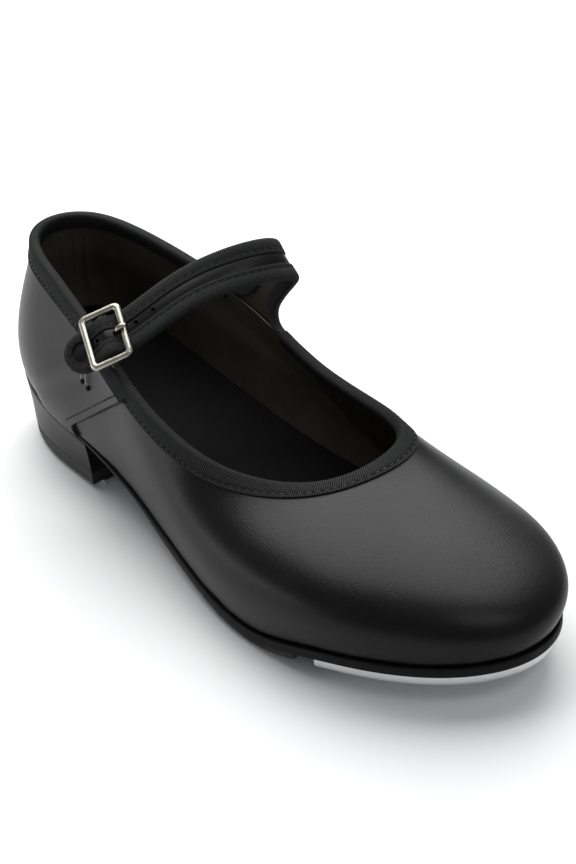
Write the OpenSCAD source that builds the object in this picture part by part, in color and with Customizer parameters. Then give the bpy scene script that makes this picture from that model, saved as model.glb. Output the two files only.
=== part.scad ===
// Tap shoe for the right foot: a low-heeled Mary Jane with a buckled strap,
// an aluminium toe tap and an aluminium heel tap.
// X runs to the toe, Y to the inner (medial) side and Z up. The floor is z = 0.

/* [Shoe] */
// Length of the upper from the back of the heel to the tip of the toe
shoe_length = 252; // [248:1:256]
// Height of the heel block's flat underside above the floor
heel_clearance = 1.6; // [1.4:0.1:2.2]

/* [Upper] */
// Thickness of the outer leather
leather_t = 1.2; // [1:0.05:1.3]
// Thickness of the lining
lining_t = 0.7; // [0.5:0.05:0.8]
// Thickness of the heel counter and the toe puff
stiffener_t = 0.7; // [0.5:0.05:0.8]
// Width of the binding that shows on the outside
binding_w = 5.5; // [4:0.5:6]
// Width of the upper's turned-in edge under the foot
margin_w = 8; // [5:0.5:9]

/* [Sole] */
// Thickness of the outsole under the ball of the foot
sole_t = 3.4; // [3:0.1:3.6]
// Thickness of the outsole under the waist and the heel seat
waist_t = 1.6; // [1.4:0.1:2]
// Thickness of the rubber pad under the ball of the foot
pad_t = 2.8; // [2:0.1:3]
// Thickness of the toe tap
toe_tap_t = 3.6; // [3.2:0.1:3.6]
// Where the heel block's front face stands, from the back of the heel
heel_length = 69; // [60:1:71]

/* [Strap] */
// Width of the strap over its bindings
strap_w = 15; // [14:0.5:15.5]
// Leather of the strap
strap_leather_t = 1; // [0.8:0.1:1.1]
// Distance between the punched holes
hole_pitch = 7; // [6.5:0.5:8]

/* [Buckle] */
// Length of the frame along the strap
buckle_l = 15; // [14.5:0.5:16]
// Width of the frame across the strap
buckle_w = 21.5; // [21:0.5:23]
// Width of the frame's bar
bar_w = 2.2; // [2:0.1:2.3]
// Thickness of the frame
frame_t = 1.8; // [1.6:0.1:1.9]

/* [Hidden] */
$fn = 32;

// The shoe's middle on the floor, where the frame's origin is
origin = [125.16, -0.07, 0];
gap = 0.35;                 // between layers that lie on each other
fine = 0.1;                 // between flat parts that are glued together
black = [0.05, 0.05, 0.055];
lining_brown = [0.16, 0.13, 0.11];
rib_black = [0.09, 0.09, 0.1];
cork = [0.62, 0.45, 0.28];
board_tan = [0.55, 0.43, 0.3];
nickel = [0.82, 0.81, 0.78];
aluminium = [0.78, 0.79, 0.8];
steel = [0.55, 0.56, 0.58];
thread_black = [0.12, 0.12, 0.13];

// The last, as stations round the foot: heel back, outer side, toe, inner side.
// Each row is the feather edge x, y, the topline x, y, z, and then the wall's
// curve between them: pull and lean at the feather, pull and slope at the topline.
LAST = [
    [ -2,   0,   4,   0, 76, 20,  9, 10, 80],
    [  5, -23,  14, -16, 75, 19, 11,  9, 82],
    [ 35, -34,  43, -21, 71, 17, 12, 10, 83],
    [ 81, -31,  74, -25, 63, 16, 12, 12, 83],
    [121, -35, 107, -32, 54, 16, 12, 14, 78],
    [165, -43, 140, -32, 46, 16, 14, 20, 61],
    [205, -38, 163, -21, 41, 16, 18, 30, 22],
    [236, -22, 177,  -7, 41, 20, 20, 38,  6],
    [251,  -2, 181,   8, 43, 20, 24, 42,  6],
    [251,  16, 180,  21, 45, 23, 29, 46, 24],
    [238,  31, 172,  29, 46, 24, 27, 41, 50],
    [209,  39, 155,  29, 47, 22, 20, 32, 64],
    [172,  40, 130,  27, 50, 19, 15, 23, 74],
    [132,  33, 103,  30, 56, 17, 12, 18, 82],
    [ 88,  27,  76,  29, 63, 16, 12, 16, 86],
    [ 40,  30,  43,  24, 70, 16, 12, 14, 85],
    [  5,  22,  13,  17, 75, 18, 10, 12, 84]];
STATIONS = len(LAST);
PER_STATION = 5;            // segments from one station to the next
NOMINAL_LENGTH = 252;
// Height of the feather edge: x, z
FEATHER = [[-10, 32.4], [0, 31], [50, 23], [90, 18.2], [130, 10.8], [176, 6.2],
    [210, 12.2], [250, 15.4], [260, 15.7]];
WALL_V = [0.05, 0.12, 0.22, 0.34, 0.46, 0.58, 0.7, 0.8, 0.9, 1];
SEAM_LATERAL = [2.5, 1.55]; // station at the feather, and how far it runs up
SEAM_MEDIAL = [14.5, -1.9];
ROOT = [12.76, 13.84];      // stations where the strap leaves the topline
LAP = 0.42;                 // stations by which the quarter covers the vamp
LAP_TOP = 0.72;             // height above which they meet edge to edge

// Buckle: middle of the frame, and how it lies
buckle_at = [90.6, -28, 68.3];
buckle_angles = [-31, 19, -121.5];
bar_r = 0.75;
bar_drop = 3.15;            // centre bar below the frame's middle plane
strap_arch = 2.4;           // how far the strap rises over the centre bar
strap_below = 1.8;          // strap's face under the frame's middle plane
ex = turned([1, 0, 0]);     // along the strap towards its tip
ey = turned([0, 1, 0]);     // across the strap
ez = turned([0, 0, 1]);     // away from the foot
bar_at = buckle_at - bar_drop * ez;
under = buckle_at - strap_below * ez;
// The strap's middle line, from the inner side over the instep to the tip
STRAP = [[89, 28, 44], [94, 29, 58], [101, 34.5, 72], [109, 37, 80], [110, 22, 84.5],
    [102, -1, 82.2], under - 9 * ex, under, under + 8 * ex, [82.8, -41, 59.4],
    [80, -46, 52]];
STRAP_PITCH = [-15, -17, -30, -48, -50, -21, -20, -20, -20, -20, -20];
STRAP_END = 8.85;
FILLET = 9;                 // radius at the strap's root
FILLET_DEPTH = 7.5;         // how much wider the root is on each side
ROOT_BLEND = 16;            // length over which the root follows the topline
strap_lining_t = 0.6;
strap_bind_t = 0.4;
bind_clear = 0.1;           // between the strap and its binding
hw = strap_w / 2 - strap_bind_t - bind_clear;

// ---------- curves ----------
function turned(p) = let (a = buckle_angles,
    q = [p.x, p.y * cos(a.x) - p.z * sin(a.x), p.y * sin(a.x) + p.z * cos(a.x)],
    r = [q.x * cos(a.y) + q.z * sin(a.y), q.y, -q.x * sin(a.y) + q.z * cos(a.y)])
    [r.x * cos(a.z) - r.y * sin(a.z), r.x * sin(a.z) + r.y * cos(a.z), r.z];
function unit(a) = a / norm(a);
function clamp(x, lo = 0, hi = 1) = min(hi, max(lo, x));
function smooth(x) = let (c = clamp(x)) c * c * (3 - 2 * c);
function mix(a, b, t) = a + (b - a) * t;
function kx(x) = x * shoe_length / NOMINAL_LENGTH;

// Uniform cubic B-spline and its slope, through a closed or an open list
function at(P, i, closed) = P[closed ? (i + 4 * len(P)) % len(P) : clamp(i, 0, len(P) - 1)];
function spline(P, t, closed = true) = let (i = floor(t), f = t - i, g = 1 - f)
    (g * g * g * at(P, i - 1, closed) + (3 * f * f * f - 6 * f * f + 4) * at(P, i, closed)
    + (-3 * f * f * f + 3 * f * f + 3 * f + 1) * at(P, i + 1, closed)
    + f * f * f * at(P, i + 2, closed)) / 6;
function spline_slope(P, t, closed = true) = let (i = floor(t), f = t - i, g = 1 - f)
    (-g * g * at(P, i - 1, closed) + (3 * f * f - 4 * f) * at(P, i, closed)
    + (-3 * f * f + 2 * f + 1) * at(P, i + 1, closed) + f * f * at(P, i + 2, closed)) / 2;

// Smooth curve through a table of x and z
function slope_at(T, i) = (T[i + 1].y - T[i - 1].y) / (T[i + 1].x - T[i - 1].x);
function knot(T, x, i = 1) = (i >= len(T) - 3 || x < T[i + 1].x) ? i : knot(T, x, i + 1);
function through(T, x) = let (i = knot(T, x), h = T[i + 1].x - T[i].x, t = (x - T[i].x) / h)
    (2 * t ^ 3 - 3 * t ^ 2 + 1) * T[i].y + (t ^ 3 - 2 * t ^ 2 + t) * h * slope_at(T, i)
    + (3 * t ^ 2 - 2 * t ^ 3) * T[i + 1].y + (t ^ 3 - t ^ 2) * h * slope_at(T, i + 1);
function feather_z(x) = through(FEATHER, clamp(x * NOMINAL_LENGTH / shoe_length, -9, 259));

// ---------- the wall of the upper ----------
function feather_out(u) = let (d = spline_slope(LAST, u)) unit([kx(d[1]) / kx(1), -kx(d[0]), 0]);
function feather_at(u, inset = 0, z = 0) = let (s = spline(LAST, u),
    p = [kx(s[0]), s[1]] - inset * [feather_out(u).x, feather_out(u).y])
    [p.x, p.y, feather_z(p.x) + z];
function wall(u) = let (s = spline(LAST, u), n = feather_out(u), F = feather_at(u),
    T = [kx(s[2]), s[3], s[4]])
    [F, F + s[5] * (n * sin(s[6]) + [0, 0, cos(s[6])]),
    T + s[7] * (n * cos(s[8]) - [0, 0, sin(s[8])]), T];
function bezier(w, v) = let (g = 1 - v)
    g * g * g * w[0] + 3 * g * g * v * w[1] + 3 * g * v * v * w[2] + v * v * v * w[3];
function bezier_slope(w, v) = let (g = 1 - v)
    3 * (g * g * (w[1] - w[0]) + 2 * g * v * (w[2] - w[1]) + v * v * (w[3] - w[2]));
function wall_out(u, v) = unit(cross(bezier(wall(u + 0.02), v) - bezier(wall(u - 0.02), v),
    bezier_slope(wall(u), v)));
// Points on the wall at station u and height v, one for each offset
function skin(u, v, offsets) = let (p = bezier(wall(u), v), n = wall_out(u, v))
    [for (o = offsets) p + o * n];
function drop_v(u, d) = 1 - d / norm(bezier_slope(wall(u), 1));

// A layer's two points at the turned-in edge (j = 0), the feather (j = 1) or the wall
function layer(u, j, o_out, o_in, z, t, margin, lift = 0) =
    j == 0 ? [feather_at(u, margin - lift - (o_out + o_in) / 2, z),
        feather_at(u, margin - lift - o_in, z + t / 2)]
    : j == 1 ? [feather_at(u, -o_out - lift, z), feather_at(u, -o_in - lift, z + t)]
    : skin(u, WALL_V[j - 2], [o_out + lift, o_in + lift]);

// ---------- solids from grids of points ----------
// G[j][i] holds a pair of points, one on each face
module grid_solid(G, closed = false) {
    rows = len(G);
    cols = len(G[0]);
    n = rows * cols;
    points = [for (side = [0, 1]) for (j = [0 : rows - 1]) for (i = [0 : cols - 1]) G[j][i][side]];
    wrap = closed ? cols - 1 : cols - 2;
    function id(j, i, side) = side * n + j * cols + i % cols;
    faces = [
        for (j = [0 : rows - 2]) for (i = [0 : wrap]) each [
            [id(j, i, 0), id(j + 1, i, 0), id(j + 1, i + 1, 0)],
            [id(j, i, 0), id(j + 1, i + 1, 0), id(j, i + 1, 0)],
            [id(j, i, 1), id(j + 1, i + 1, 1), id(j + 1, i, 1)],
            [id(j, i, 1), id(j, i + 1, 1), id(j + 1, i + 1, 1)]],
        for (i = [0 : wrap]) each [
            [id(0, i, 0), id(0, i + 1, 0), id(0, i + 1, 1)],
            [id(0, i, 0), id(0, i + 1, 1), id(0, i, 1)],
            [id(rows - 1, i, 0), id(rows - 1, i + 1, 1), id(rows - 1, i + 1, 0)],
            [id(rows - 1, i, 0), id(rows - 1, i, 1), id(rows - 1, i + 1, 1)]],
        if (!closed) for (j = [0 : rows - 2]) each [
            [id(j, 0, 0), id(j + 1, 0, 1), id(j + 1, 0, 0)],
            [id(j, 0, 0), id(j, 0, 1), id(j + 1, 0, 1)],
            [id(j, cols - 1, 0), id(j + 1, cols - 1, 0), id(j + 1, cols - 1, 1)],
            [id(j, cols - 1, 0), id(j + 1, cols - 1, 1), id(j, cols - 1, 1)]]];
    polyhedron(points, faces);
}

// A plate inside the outline of the foot, from station u0 to u1
module plate(u0, u1, inset_top, inset_bottom, top, bottom) {
    n = round((u1 - u0) * PER_STATION);
    us = [for (i = [0 : n]) mix(u0, u1, i / n)];
    function rim(inset, height) = [for (u = us) let (p = feather_at(u, inset))
        [p.x, p.y, height(p.x)]];
    points = concat(rim(inset_top, top), rim(inset_bottom, bottom));
    m = n + 1;
    half = floor(n / 2) - 1;
    function ladder(k) = [for (i = [0 : half]) each [
        [k + i, k + n - i, k + i + 1],
        if (i + 1 < n - i - 1) [k + i + 1, k + n - i, k + n - i - 1]]];
    faces = [
        each ladder(0),
        for (f = ladder(m)) [f[0], f[2], f[1]],
        for (i = [0 : n]) let (j = (i + 1) % m) each [[i, j, m + j], [i, m + j, m + i]]];
    polyhedron(points, faces);
}
full_turn = STATIONS - 1 / PER_STATION;
module between_x(x0, x1) {
    translate([kx(x0), -60, -10])
        cube([kx(x1) - kx(x0), 120, 120]);
}

// ---------- panels of the upper ----------
function seam(line, v) = line[0] + line[1] * v + 0.25 * sign(line[1]) * (1 - clamp(v / 0.12)) ^ 2;
function row_v(j) = j < 2 ? 0 : WALL_V[j - 2];
function lap(v) = LAP * (1 - smooth((v - LAP_TOP + 0.14) / 0.14));
// The quarter rises over the vamp next to its front edge
function rise(distance, v) = (leather_t + 0.15) * (1 - smooth((distance - LAP - 0.05) / 0.3))
    * (1 - smooth((v - LAP_TOP) / 0.12));
rows = len(WALL_V) + 1;
module outer_panel(edge_a, edge_b, seam_a = false, seam_b = false) {
    cols = round((edge_b(1) - edge_a(1)) * PER_STATION);
    grid_solid([for (j = [0 : rows]) [for (i = [0 : cols]) let (v = row_v(j),
        u = mix(edge_a(v), edge_b(v), i / cols),
        lift = max(seam_a ? rise(u - edge_a(v), v) : 0, seam_b ? rise(edge_b(v) - u, v) : 0),
        from_seam = min(u - edge_a(v), edge_b(v) - u))
        layer(u, j, 0, -leather_t, fine, leather_t, margin_w * smooth(from_seam / 0.9 - 0.55),
        lift)]]);
}
module vamp() {
    color(black)
        translate(-origin)
            outer_panel(function (v) seam(SEAM_LATERAL, v) - lap(v) + 0.03,
                function (v) seam(SEAM_MEDIAL, v) + lap(v) - 0.03);
}
module quarter_lateral() {
    color(black)
        translate(-origin)
            outer_panel(function (v) 0.015, function (v) seam(SEAM_LATERAL, v), seam_b = true);
}
module quarter_medial() {
    color(black)
        translate(-origin)
            outer_panel(function (v) seam(SEAM_MEDIAL, v), function (v) STATIONS - 0.015,
                seam_a = true);
}
module back_stay() {
    heights = [0.04, 0.2, 0.4, 0.6, 0.78];
    color(black)
        translate(-origin)
            grid_solid([for (v = heights) [for (i = [-3 : 3])
                skin(STATIONS + i * 0.11, v, [gap + 0.9, gap])]]);
}
function lining_o(v) = -leather_t - gap - (stiffener_t + gap) * (1 - smooth((v - 0.55) / 0.25));
module lining_panel(u0, u1) {
    cols = round((u1 - u0) * PER_STATION);
    z = fine + leather_t + 0.1;
    grid_solid([for (j = [0 : rows]) [for (i = [0 : cols]) let (o = lining_o(row_v(j)))
        layer(mix(u0, u1, i / cols), j, o, o - lining_t, z, lining_t, margin_w - 2)]]);
}
LINING_SPLIT = [4.4, 12.2];
module vamp_lining() {
    color(lining_brown)
        translate(-origin)
            lining_panel(LINING_SPLIT[0] + 0.02, LINING_SPLIT[1] - 0.02);
}
module quarter_lining() {
    color(lining_brown)
        translate(-origin)
            lining_panel(LINING_SPLIT[1], LINING_SPLIT[0] + STATIONS);
}
module stiffener(u0, u1) {
    heights = [for (j = [1 : 4]) WALL_V[j]];
    cols = round((u1 - u0) * PER_STATION);
    o = -leather_t - gap;
    color(board_tan)
        translate(-origin)
            grid_solid([for (v = heights) [for (i = [0 : cols])
                skin(mix(u0, u1, i / cols), v, [o, o - stiffener_t])]]);
}
module heel_counter() {
    stiffener(14.4, 19.6);
}
module toe_puff() {
    stiffener(6, 11);
}

// ---------- topline binding ----------
bind_t = 0.55;
module topline_binding() {
    u0 = ROOT[1] + 0.04;
    u1 = STATIONS + ROOT[0] - 0.04;
    cols = round((u1 - u0) * PER_STATION);
    o_in = lining_o(1) - lining_t;
    // distance down the wall, rise above the topline, outer offset, inner offset
    section = [[binding_w, 0, 0.25 + bind_t, 0.25], [binding_w / 2, 0, 0.25 + bind_t, 0.25],
        [0, 0.1, 0.25 + bind_t, 0.25], [0, 0.55, 0.3, 0.1], [0, 0.85, -0.6, -0.5],
        [0, 0.85, o_in + 0.6, o_in + 0.5], [0, 0.55, o_in - 0.3, o_in - 0.1],
        [0, 0.1, o_in - 0.25 - bind_t, o_in - 0.25],
        [binding_w - 1.5, 0, o_in - 0.25 - bind_t, o_in - 0.25]];
    color(rib_black)
        translate(-origin)
            grid_solid([for (c = section) [for (i = [0 : cols]) let (u = mix(u0, u1, i / cols),
                p = skin(u, drop_v(u, c[0]), [c[2], c[3]]),
                up = unit(bezier_slope(wall(u), 1)))
                [p[0] + up * c[1], p[1] + up * min(c[1], 0.22)]]]);
}

// ---------- under the foot ----------
z_board = fine + leather_t + 0.1 + lining_t + 0.1;
board_t = 1.8;
liner_t = 1;
inside = leather_t + stiffener_t + lining_t + 2 * gap + 1.3;
module insole_board() {
    color(board_tan)
        translate(-origin)
            plate(0, full_turn, inside, inside, function (x) feather_z(x) + z_board + board_t,
                function (x) feather_z(x) + z_board);
}
module sock_liner() {
    z = z_board + board_t + 0.1;
    color(black)
        translate(-origin)
            plate(0, full_turn, inside - 0.1, inside + 0.1, function (x) feather_z(x) + z + liner_t,
                function (x) feather_z(x) + z);
}
module steel_shank() {
    xs = [50, 65, 80, 95, 110, 125, 140];
    y_mid = -2;
    width = 12;
    color(steel)
        translate(-origin)
            grid_solid([for (x = xs) [for (y = [-width / 2, width / 2]) let (z = feather_z(kx(x)))
                [[kx(x), y_mid + y, z + 0.4], [kx(x), y_mid + y, z + 1.6]]]]);
}
module cork_filler() {
    color(cork)
        translate(-origin)
            intersection() {
                plate(4, 13, inside + margin_w + 1, inside + margin_w + 1,
                    function (x) feather_z(x) + z_board - 0.4, function (x) feather_z(x) + 0.5);
                between_x(146, 260);
            }
}
function sole_thickness(x) = mix(waist_t, sole_t, smooth((x - kx(98)) / 34));
NAILS = [[14, 0], [26, -14], [26, 14], [44, -14], [44, 14]];
NAIL_R = 1;
module nail_holes() {
    for (p = NAILS)
        translate([kx(p.x), p.y, 5])
            cylinder(r = NAIL_R + 0.05, h = 40);
}
module outsole() {
    color(black)
        translate(-origin)
            difference() {
                plate(0, full_turn, -1, -0.8, function (x) feather_z(x) - fine,
                    function (x) feather_z(x) - sole_thickness(x));
                nail_holes();
                toe_screw_holes();
            }
}
PAD = [118, 196];             // from and to, along the shoe
module rubber_sole_pad() {
    color(black)
        translate(-origin)
            intersection() {
                plate(3, 14, 0, 0.3, function (x) feather_z(x) - sole_thickness(x) - fine,
                    function (x) max(0, feather_z(x) - sole_thickness(x)
                        - mix(0.5, pad_t, smooth((x - kx(PAD[0])) / 24))));
                between_x(PAD[0], PAD[1]);
            }
}

// ---------- heel ----------
lift_t = 5;
module heel_cut(inset, low, high) {
    n = 6 * PER_STATION;
    translate([0, 0, low])
        intersection() {
            linear_extrude(high - low)
                polygon([for (i = [0 : n]) let (p = feather_at(mix(-3, 3, i / n), inset)) [p.x, p.y]]);
            translate([-10, -60, 0])
                cube([kx(heel_length) + 10, 120, high - low]);
        }
}
module heel_block() {
    z_low = heel_clearance + lift_t + fine;
    color(black)
        translate(-origin)
            difference() {
                intersection() {
                    plate(-3, 3, -0.2, 0.5, function (x) feather_z(x) - waist_t - fine,
                        function (x) z_low);
                    between_x(-10, heel_length);
                }
                nail_holes();
            }
}
HEEL_SCREWS = [[12, 0], [52, -18], [52, 18]];
SCREW_R = 1.4;
HEAD_R = 2.8;
HEAD_H = 1;
module heel_top_lift() {
    color(rib_black)
        translate(-origin)
            difference() {
                heel_cut(0.6, heel_clearance + fine, heel_clearance + lift_t);
                for (p = HEEL_SCREWS)
                    translate([kx(p.x), p.y, 0])
                        cylinder(r = SCREW_R + 0.05, h = 10);
            }
}
module heel_tap() {
    color(aluminium)
        translate(-origin)
            difference() {
                heel_cut(5, 0, heel_clearance);
                translate([kx(heel_length) + 14, 0, -1])
                    cylinder(r = 20, h = 10, $fn = 64);
                for (p = HEEL_SCREWS)
                    translate([kx(p.x), p.y, 0])
                        screw_pocket();
            }
}
module screw_pocket() {
    translate([0, 0, -1])
        cylinder(r = SCREW_R + 0.05, h = 20);
    translate([0, 0, -1])
        cylinder(r = HEAD_R + 0.05, h = 1 + HEAD_H);
}
module screw(length) {
    difference() {
        union() {
            translate([0, 0, 0.1])
                cylinder(r = HEAD_R, h = HEAD_H - 0.15);
            translate([0, 0, 0.2])
                cylinder(r = SCREW_R, h = length);
        }
        translate([-HEAD_R, -0.35, 0])
            cube([2 * HEAD_R, 0.7, 0.6]);
    }
}
module heel_tap_screws() {
    color(steel)
        translate(-origin)
            for (p = HEEL_SCREWS)
                translate([kx(p.x), p.y, 0])
                    screw(heel_clearance + lift_t - 0.6);
}
module heel_nails() {
    color(steel)
        translate(-origin)
            for (p = NAILS)
                translate([kx(p.x), p.y, feather_z(kx(p.x))]) {
                    translate([0, 0, 0.5])
                        cylinder(r = 2.2, h = 0.8);
                    translate([0, 0, -14])
                        cylinder(r = NAIL_R, h = 15);
                }
}

// ---------- toe tap ----------
TAP_FROM = 204;
TOE_SCREWS = [[216, -21], [216, 23], [240, 5]];
function spring_angle(x) = atan2(feather_z(kx(x) + 4) - feather_z(kx(x) - 4), 8);
function tap_z(x) = feather_z(kx(x)) - sole_t - toe_tap_t;
module at_toe_screws() {
    for (p = TOE_SCREWS)
        translate([kx(p.x), p.y, tap_z(p.x)])
            rotate([0, -spring_angle(p.x), 0])
                children();
}
module toe_screw_holes() {
    at_toe_screws()
        translate([0, 0, 2])
            cylinder(r = SCREW_R + 0.05, h = 4.4);
}
module toe_tap() {
    color(aluminium)
        translate(-origin)
            difference() {
                plate(5, 12, 0.5, 0.9, function (x) feather_z(x) - sole_t - 2 * fine,
                    function (x) feather_z(x) - sole_t - toe_tap_t);
                translate([kx(TAP_FROM) - 50, 0, -10])
                    cylinder(r = 60, h = 60, $fn = 96);
                translate([kx(100), -60, -10])
                    cube([kx(TAP_FROM) - kx(100), 120, 60]);
                at_toe_screws()
                    screw_pocket();
            }
}
module toe_tap_screws() {
    color(steel)
        translate(-origin)
            at_toe_screws()
                screw(5.8);
}

// ---------- strap ----------
ARC = let (n = 130, step = (STRAP_END - 0.6) / n, p = [for (i = [0 : n]) spline(STRAP, 1 + i * step, false)],
    d = [for (i = [0 : n]) i == 0 ? 0 : norm(p[i] - p[i - 1])])
    [for (i = 0, s = 0; i <= n; i = i + 1, s = s + (i <= n ? d[i] : 0)) [s, 1 + i * step]];
function strap_t(s) = lookup(s, ARC);
function length_to(t) = lookup(t, [for (a = ARC) [a[1], a[0]]]);
strap_length = length_to(STRAP_END);
s_buckle = length_to(7);
function strap_half(s) = let (k = clamp(1 - s / FILLET))
    hw + FILLET_DEPTH * (1 - sqrt(1 - k * k * 0.98));
function strap_frame(s) = let (t = strap_t(s), d = unit(spline_slope(STRAP, t, false)),
    a = spline(STRAP_PITCH, t, false), w0 = [cos(a), 0, sin(a)], w = unit(w0 - (w0 * d) * d))
    [spline(STRAP, t, false), d, w, cross(d, w)];
root_row = strap_frame(0);
root_w = strap_half(0);
function root_gap(w) = let (u = mix(ROOT[1], ROOT[0], clamp((w + root_w) / (2 * root_w), -0.05, 1.05)))
    wall(u)[3] - (root_row[0] + w * root_row[2]);
// Point at length s and distance w across, raised by o from the outer face
function strap_point(s, w, o) = let (f = strap_frame(s), x = clamp((s - s_buckle) / 6.2, -1, 1),
    arch = strap_arch * cos(90 * x) ^ 2, blend = clamp(1 - s / ROOT_BLEND))
    f[0] + w * f[2] + (o + arch) * f[3] + root_gap(w) * blend * blend + [0, 0, 0.35] * blend;
// Half width at s with the rounded tip
tip_r = hw;
function half_at(s, inset = 0) = let (from_tip = strap_length - s)
    from_tip >= tip_r ? strap_half(s) - inset
    : sqrt(max(0.04, tip_r ^ 2 - (tip_r - from_tip) ^ 2)) - inset;
// Lengths at which the strap is cut into rows: closer at the root and in the buckle
BODY_S = concat([for (i = [0 : 8]) i * 1.3], [for (i = [0 : 24]) mix(11.7, s_buckle - 8, i / 24)],
    [for (i = [1 : 14]) mix(s_buckle - 8, strap_length - tip_r, i / 14)]);
TIP_STEP = 15;
TIP_S = [for (a = [TIP_STEP : TIP_STEP : 90]) strap_length - tip_r * (1 - sin(a))];
module strap_sheet(o_top, o_bottom) {
    grid_solid([for (k = [-4 : 4]) [for (s = concat(BODY_S, TIP_S)) let (w = half_at(s) * k / 4)
        [strap_point(s, w, o_top), strap_point(s, w, o_bottom)]]]);
}
module strap_holes() {
    // the prong's slot, and the round holes before and after it
    for (k = [-2, -1, 1])
        let (f = strap_frame(s_buckle - 3.7 + k * hole_pitch))
            hole_at(f, k);
    translate(buckle_at)
        rotate(buckle_angles)
            translate([-3.5, 0, -4]) {
                translate([-1, 0, 0])
                    cylinder(r = 1.1, h = 6);
                translate([1.2, 0, 0])
                    cylinder(r = 1.1, h = 6);
                translate([-1, -1.1, 0])
                    cube([2.2, 2.2, 6]);
            }
}
module hole_at(f, k) {
    n = f[3];
    translate(f[0])
        rotate([0, acos(n.z), atan2(n.y, n.x)])
            translate([0, 0, -4])
                cylinder(r = 0.9, h = 8);
}
module strap_leather() {
    color(black)
        translate(-origin)
            difference() {
                strap_sheet(0, -strap_leather_t);
                strap_holes();
            }
}
module strap_lining() {
    o = -strap_leather_t - 0.1;
    color(lining_brown)
        translate(-origin)
            difference() {
                strap_sheet(o, o - strap_lining_t);
                strap_holes();
            }
}
// The strap's edge as length and distance across, from the front of the root round the tip
EDGE = let (n = len(BODY_S) - 1) concat(
    [for (s = BODY_S) [s, strap_half(s), 0, 1]],
    [for (a = [TIP_STEP : TIP_STEP : 180 - TIP_STEP])
        [strap_length - tip_r * (1 - sin(a)), tip_r * cos(a), sin(a), cos(a)]],
    [for (i = [n : -1 : 0]) [BODY_S[i], -strap_half(BODY_S[i]), 0, -1]]);
module strap_binding() {
    o_in = -strap_leather_t - 0.1 - strap_lining_t;
    leg = 4.8;
    // inset of the outer and inner chains, and their offsets
    section = [[leg, leg, bind_clear + strap_bind_t, bind_clear], [0, 0, bind_clear + strap_bind_t, bind_clear],
        [-bind_clear - strap_bind_t, -bind_clear, 0, 0], [-bind_clear - strap_bind_t, -bind_clear, o_in, o_in],
        [0, 0, o_in - bind_clear - strap_bind_t, o_in - bind_clear],
        [leg, leg, o_in - bind_clear - strap_bind_t, o_in - bind_clear]];
    color(rib_black)
        translate(-origin)
            grid_solid([for (c = section) [for (e = EDGE)
                [strap_point(e[0] - c[0] * e[2], e[1] - c[0] * e[3], c[2]),
                strap_point(e[0] - c[1] * e[2], e[1] - c[1] * e[3], c[3])]]]);
}

// ---------- buckle ----------
module at_buckle() {
    translate(buckle_at - origin)
        rotate(buckle_angles)
            children();
}
module rounded_plate(l, w, r, t) {
    translate([0, 0, -t / 2])
        linear_extrude(t) {
            square([l - 2 * r, w], center = true);
            square([l, w - 2 * r], center = true);
            for (i = [-1, 1], j = [-1, 1])
                translate([i * (l / 2 - r), j * (w / 2 - r)])
                    circle(r);
        }
}
module buckle_frame() {
    inner_w = buckle_w - 2 * bar_w;
    color(nickel)
        at_buckle() {
            difference() {
                rounded_plate(buckle_l, buckle_w, 2.4, frame_t);
                rounded_plate(buckle_l - 2 * bar_w, inner_w, 1, frame_t + 1);
            }
            for (j = [-1, 1])
                translate([-1.1, j * (buckle_w / 2 - bar_w / 2) - 0.8, -bar_drop - 0.9])
                    cube([2.2, 1.6, bar_drop]);
            translate([0, buckle_w / 2 - bar_w / 2, -bar_drop])
                rotate([90, 0, 0])
                    cylinder(r = bar_r, h = buckle_w - bar_w);
        }
}
PRONG = [[-1.1, -3.15], [-2.8, -3.05], [-3.9, 0.4], [-4.7, 1.75], [-6.4, 1.9], [-7.7, 1.8]];
prong_r = 0.7;
module rod(a, b, r) {
    d = b - a;
    translate([a.x, 0, a.y])
        rotate([0, atan2(d.x, d.y), 0])
            cylinder(r = r, h = norm(d));
    translate([b.x, 0, b.y])
        sphere(r * 1.04);
}
module buckle_prong() {
    color(nickel)
        at_buckle()
            difference() {
                union() {
                    translate([0, 1.2, -bar_drop])
                        rotate([90, 0, 0])
                            cylinder(r = 1.35, h = 2.4);
                    for (i = [0 : len(PRONG) - 2])
                        rod(PRONG[i], PRONG[i + 1], prong_r);
                }
                translate([0, 3, -bar_drop])
                    rotate([90, 0, 0])
                        cylinder(r = bar_r + 0.06, h = 6);
            }
}
TAB_BASE = 3.2;             // station on the topline where the tab is sewn
LOOP_R = 1.4;
EAR = [1.7, 6];             // from the prong's gap to the tab's edge
// Strip from the lining up to the centre bar, between two distances along the bar
module tab_strip(y0, y1, to_bar) {
    o_tab = lining_o(1) - lining_t - 0.25 - bind_t - 0.3;
    chain = to_bar ? [3, 0] : [9, 4, 1];
    function base(y) = TAB_BASE + y / 32;
    ys = [for (k = [0 : 4]) mix(y0, y1, k / 4)];
    grid_solid(concat(
        [for (c = chain) [for (y = ys) let (u = base(y)) skin(u, drop_v(u, c), [o_tab, o_tab - 1])]],
        to_bar ? [[for (y = ys) let (p = bar_at + ey * y - [0, 0, 1.2])
            [p - [0, 0.3, 0], p + [0, 0.3, 0]]]] : []));
}
module buckle_tab() {
    color(black) {
        translate(-origin) {
            tab_strip(-EAR[1], EAR[1], false);
            tab_strip(-EAR[1], -EAR[0], true);
            tab_strip(EAR[0], EAR[1], true);
        }
        at_buckle()
            for (y = [-EAR[0], EAR[1]])
                difference() {
                    translate([0, y, -bar_drop])
                        rotate([90, 0, 0])
                            cylinder(r = LOOP_R, h = EAR[1] - EAR[0]);
                    translate([0, 20, -bar_drop])
                        rotate([90, 0, 0])
                            cylinder(r = bar_r + 0.1, h = 40);
                }
    }
}
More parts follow.
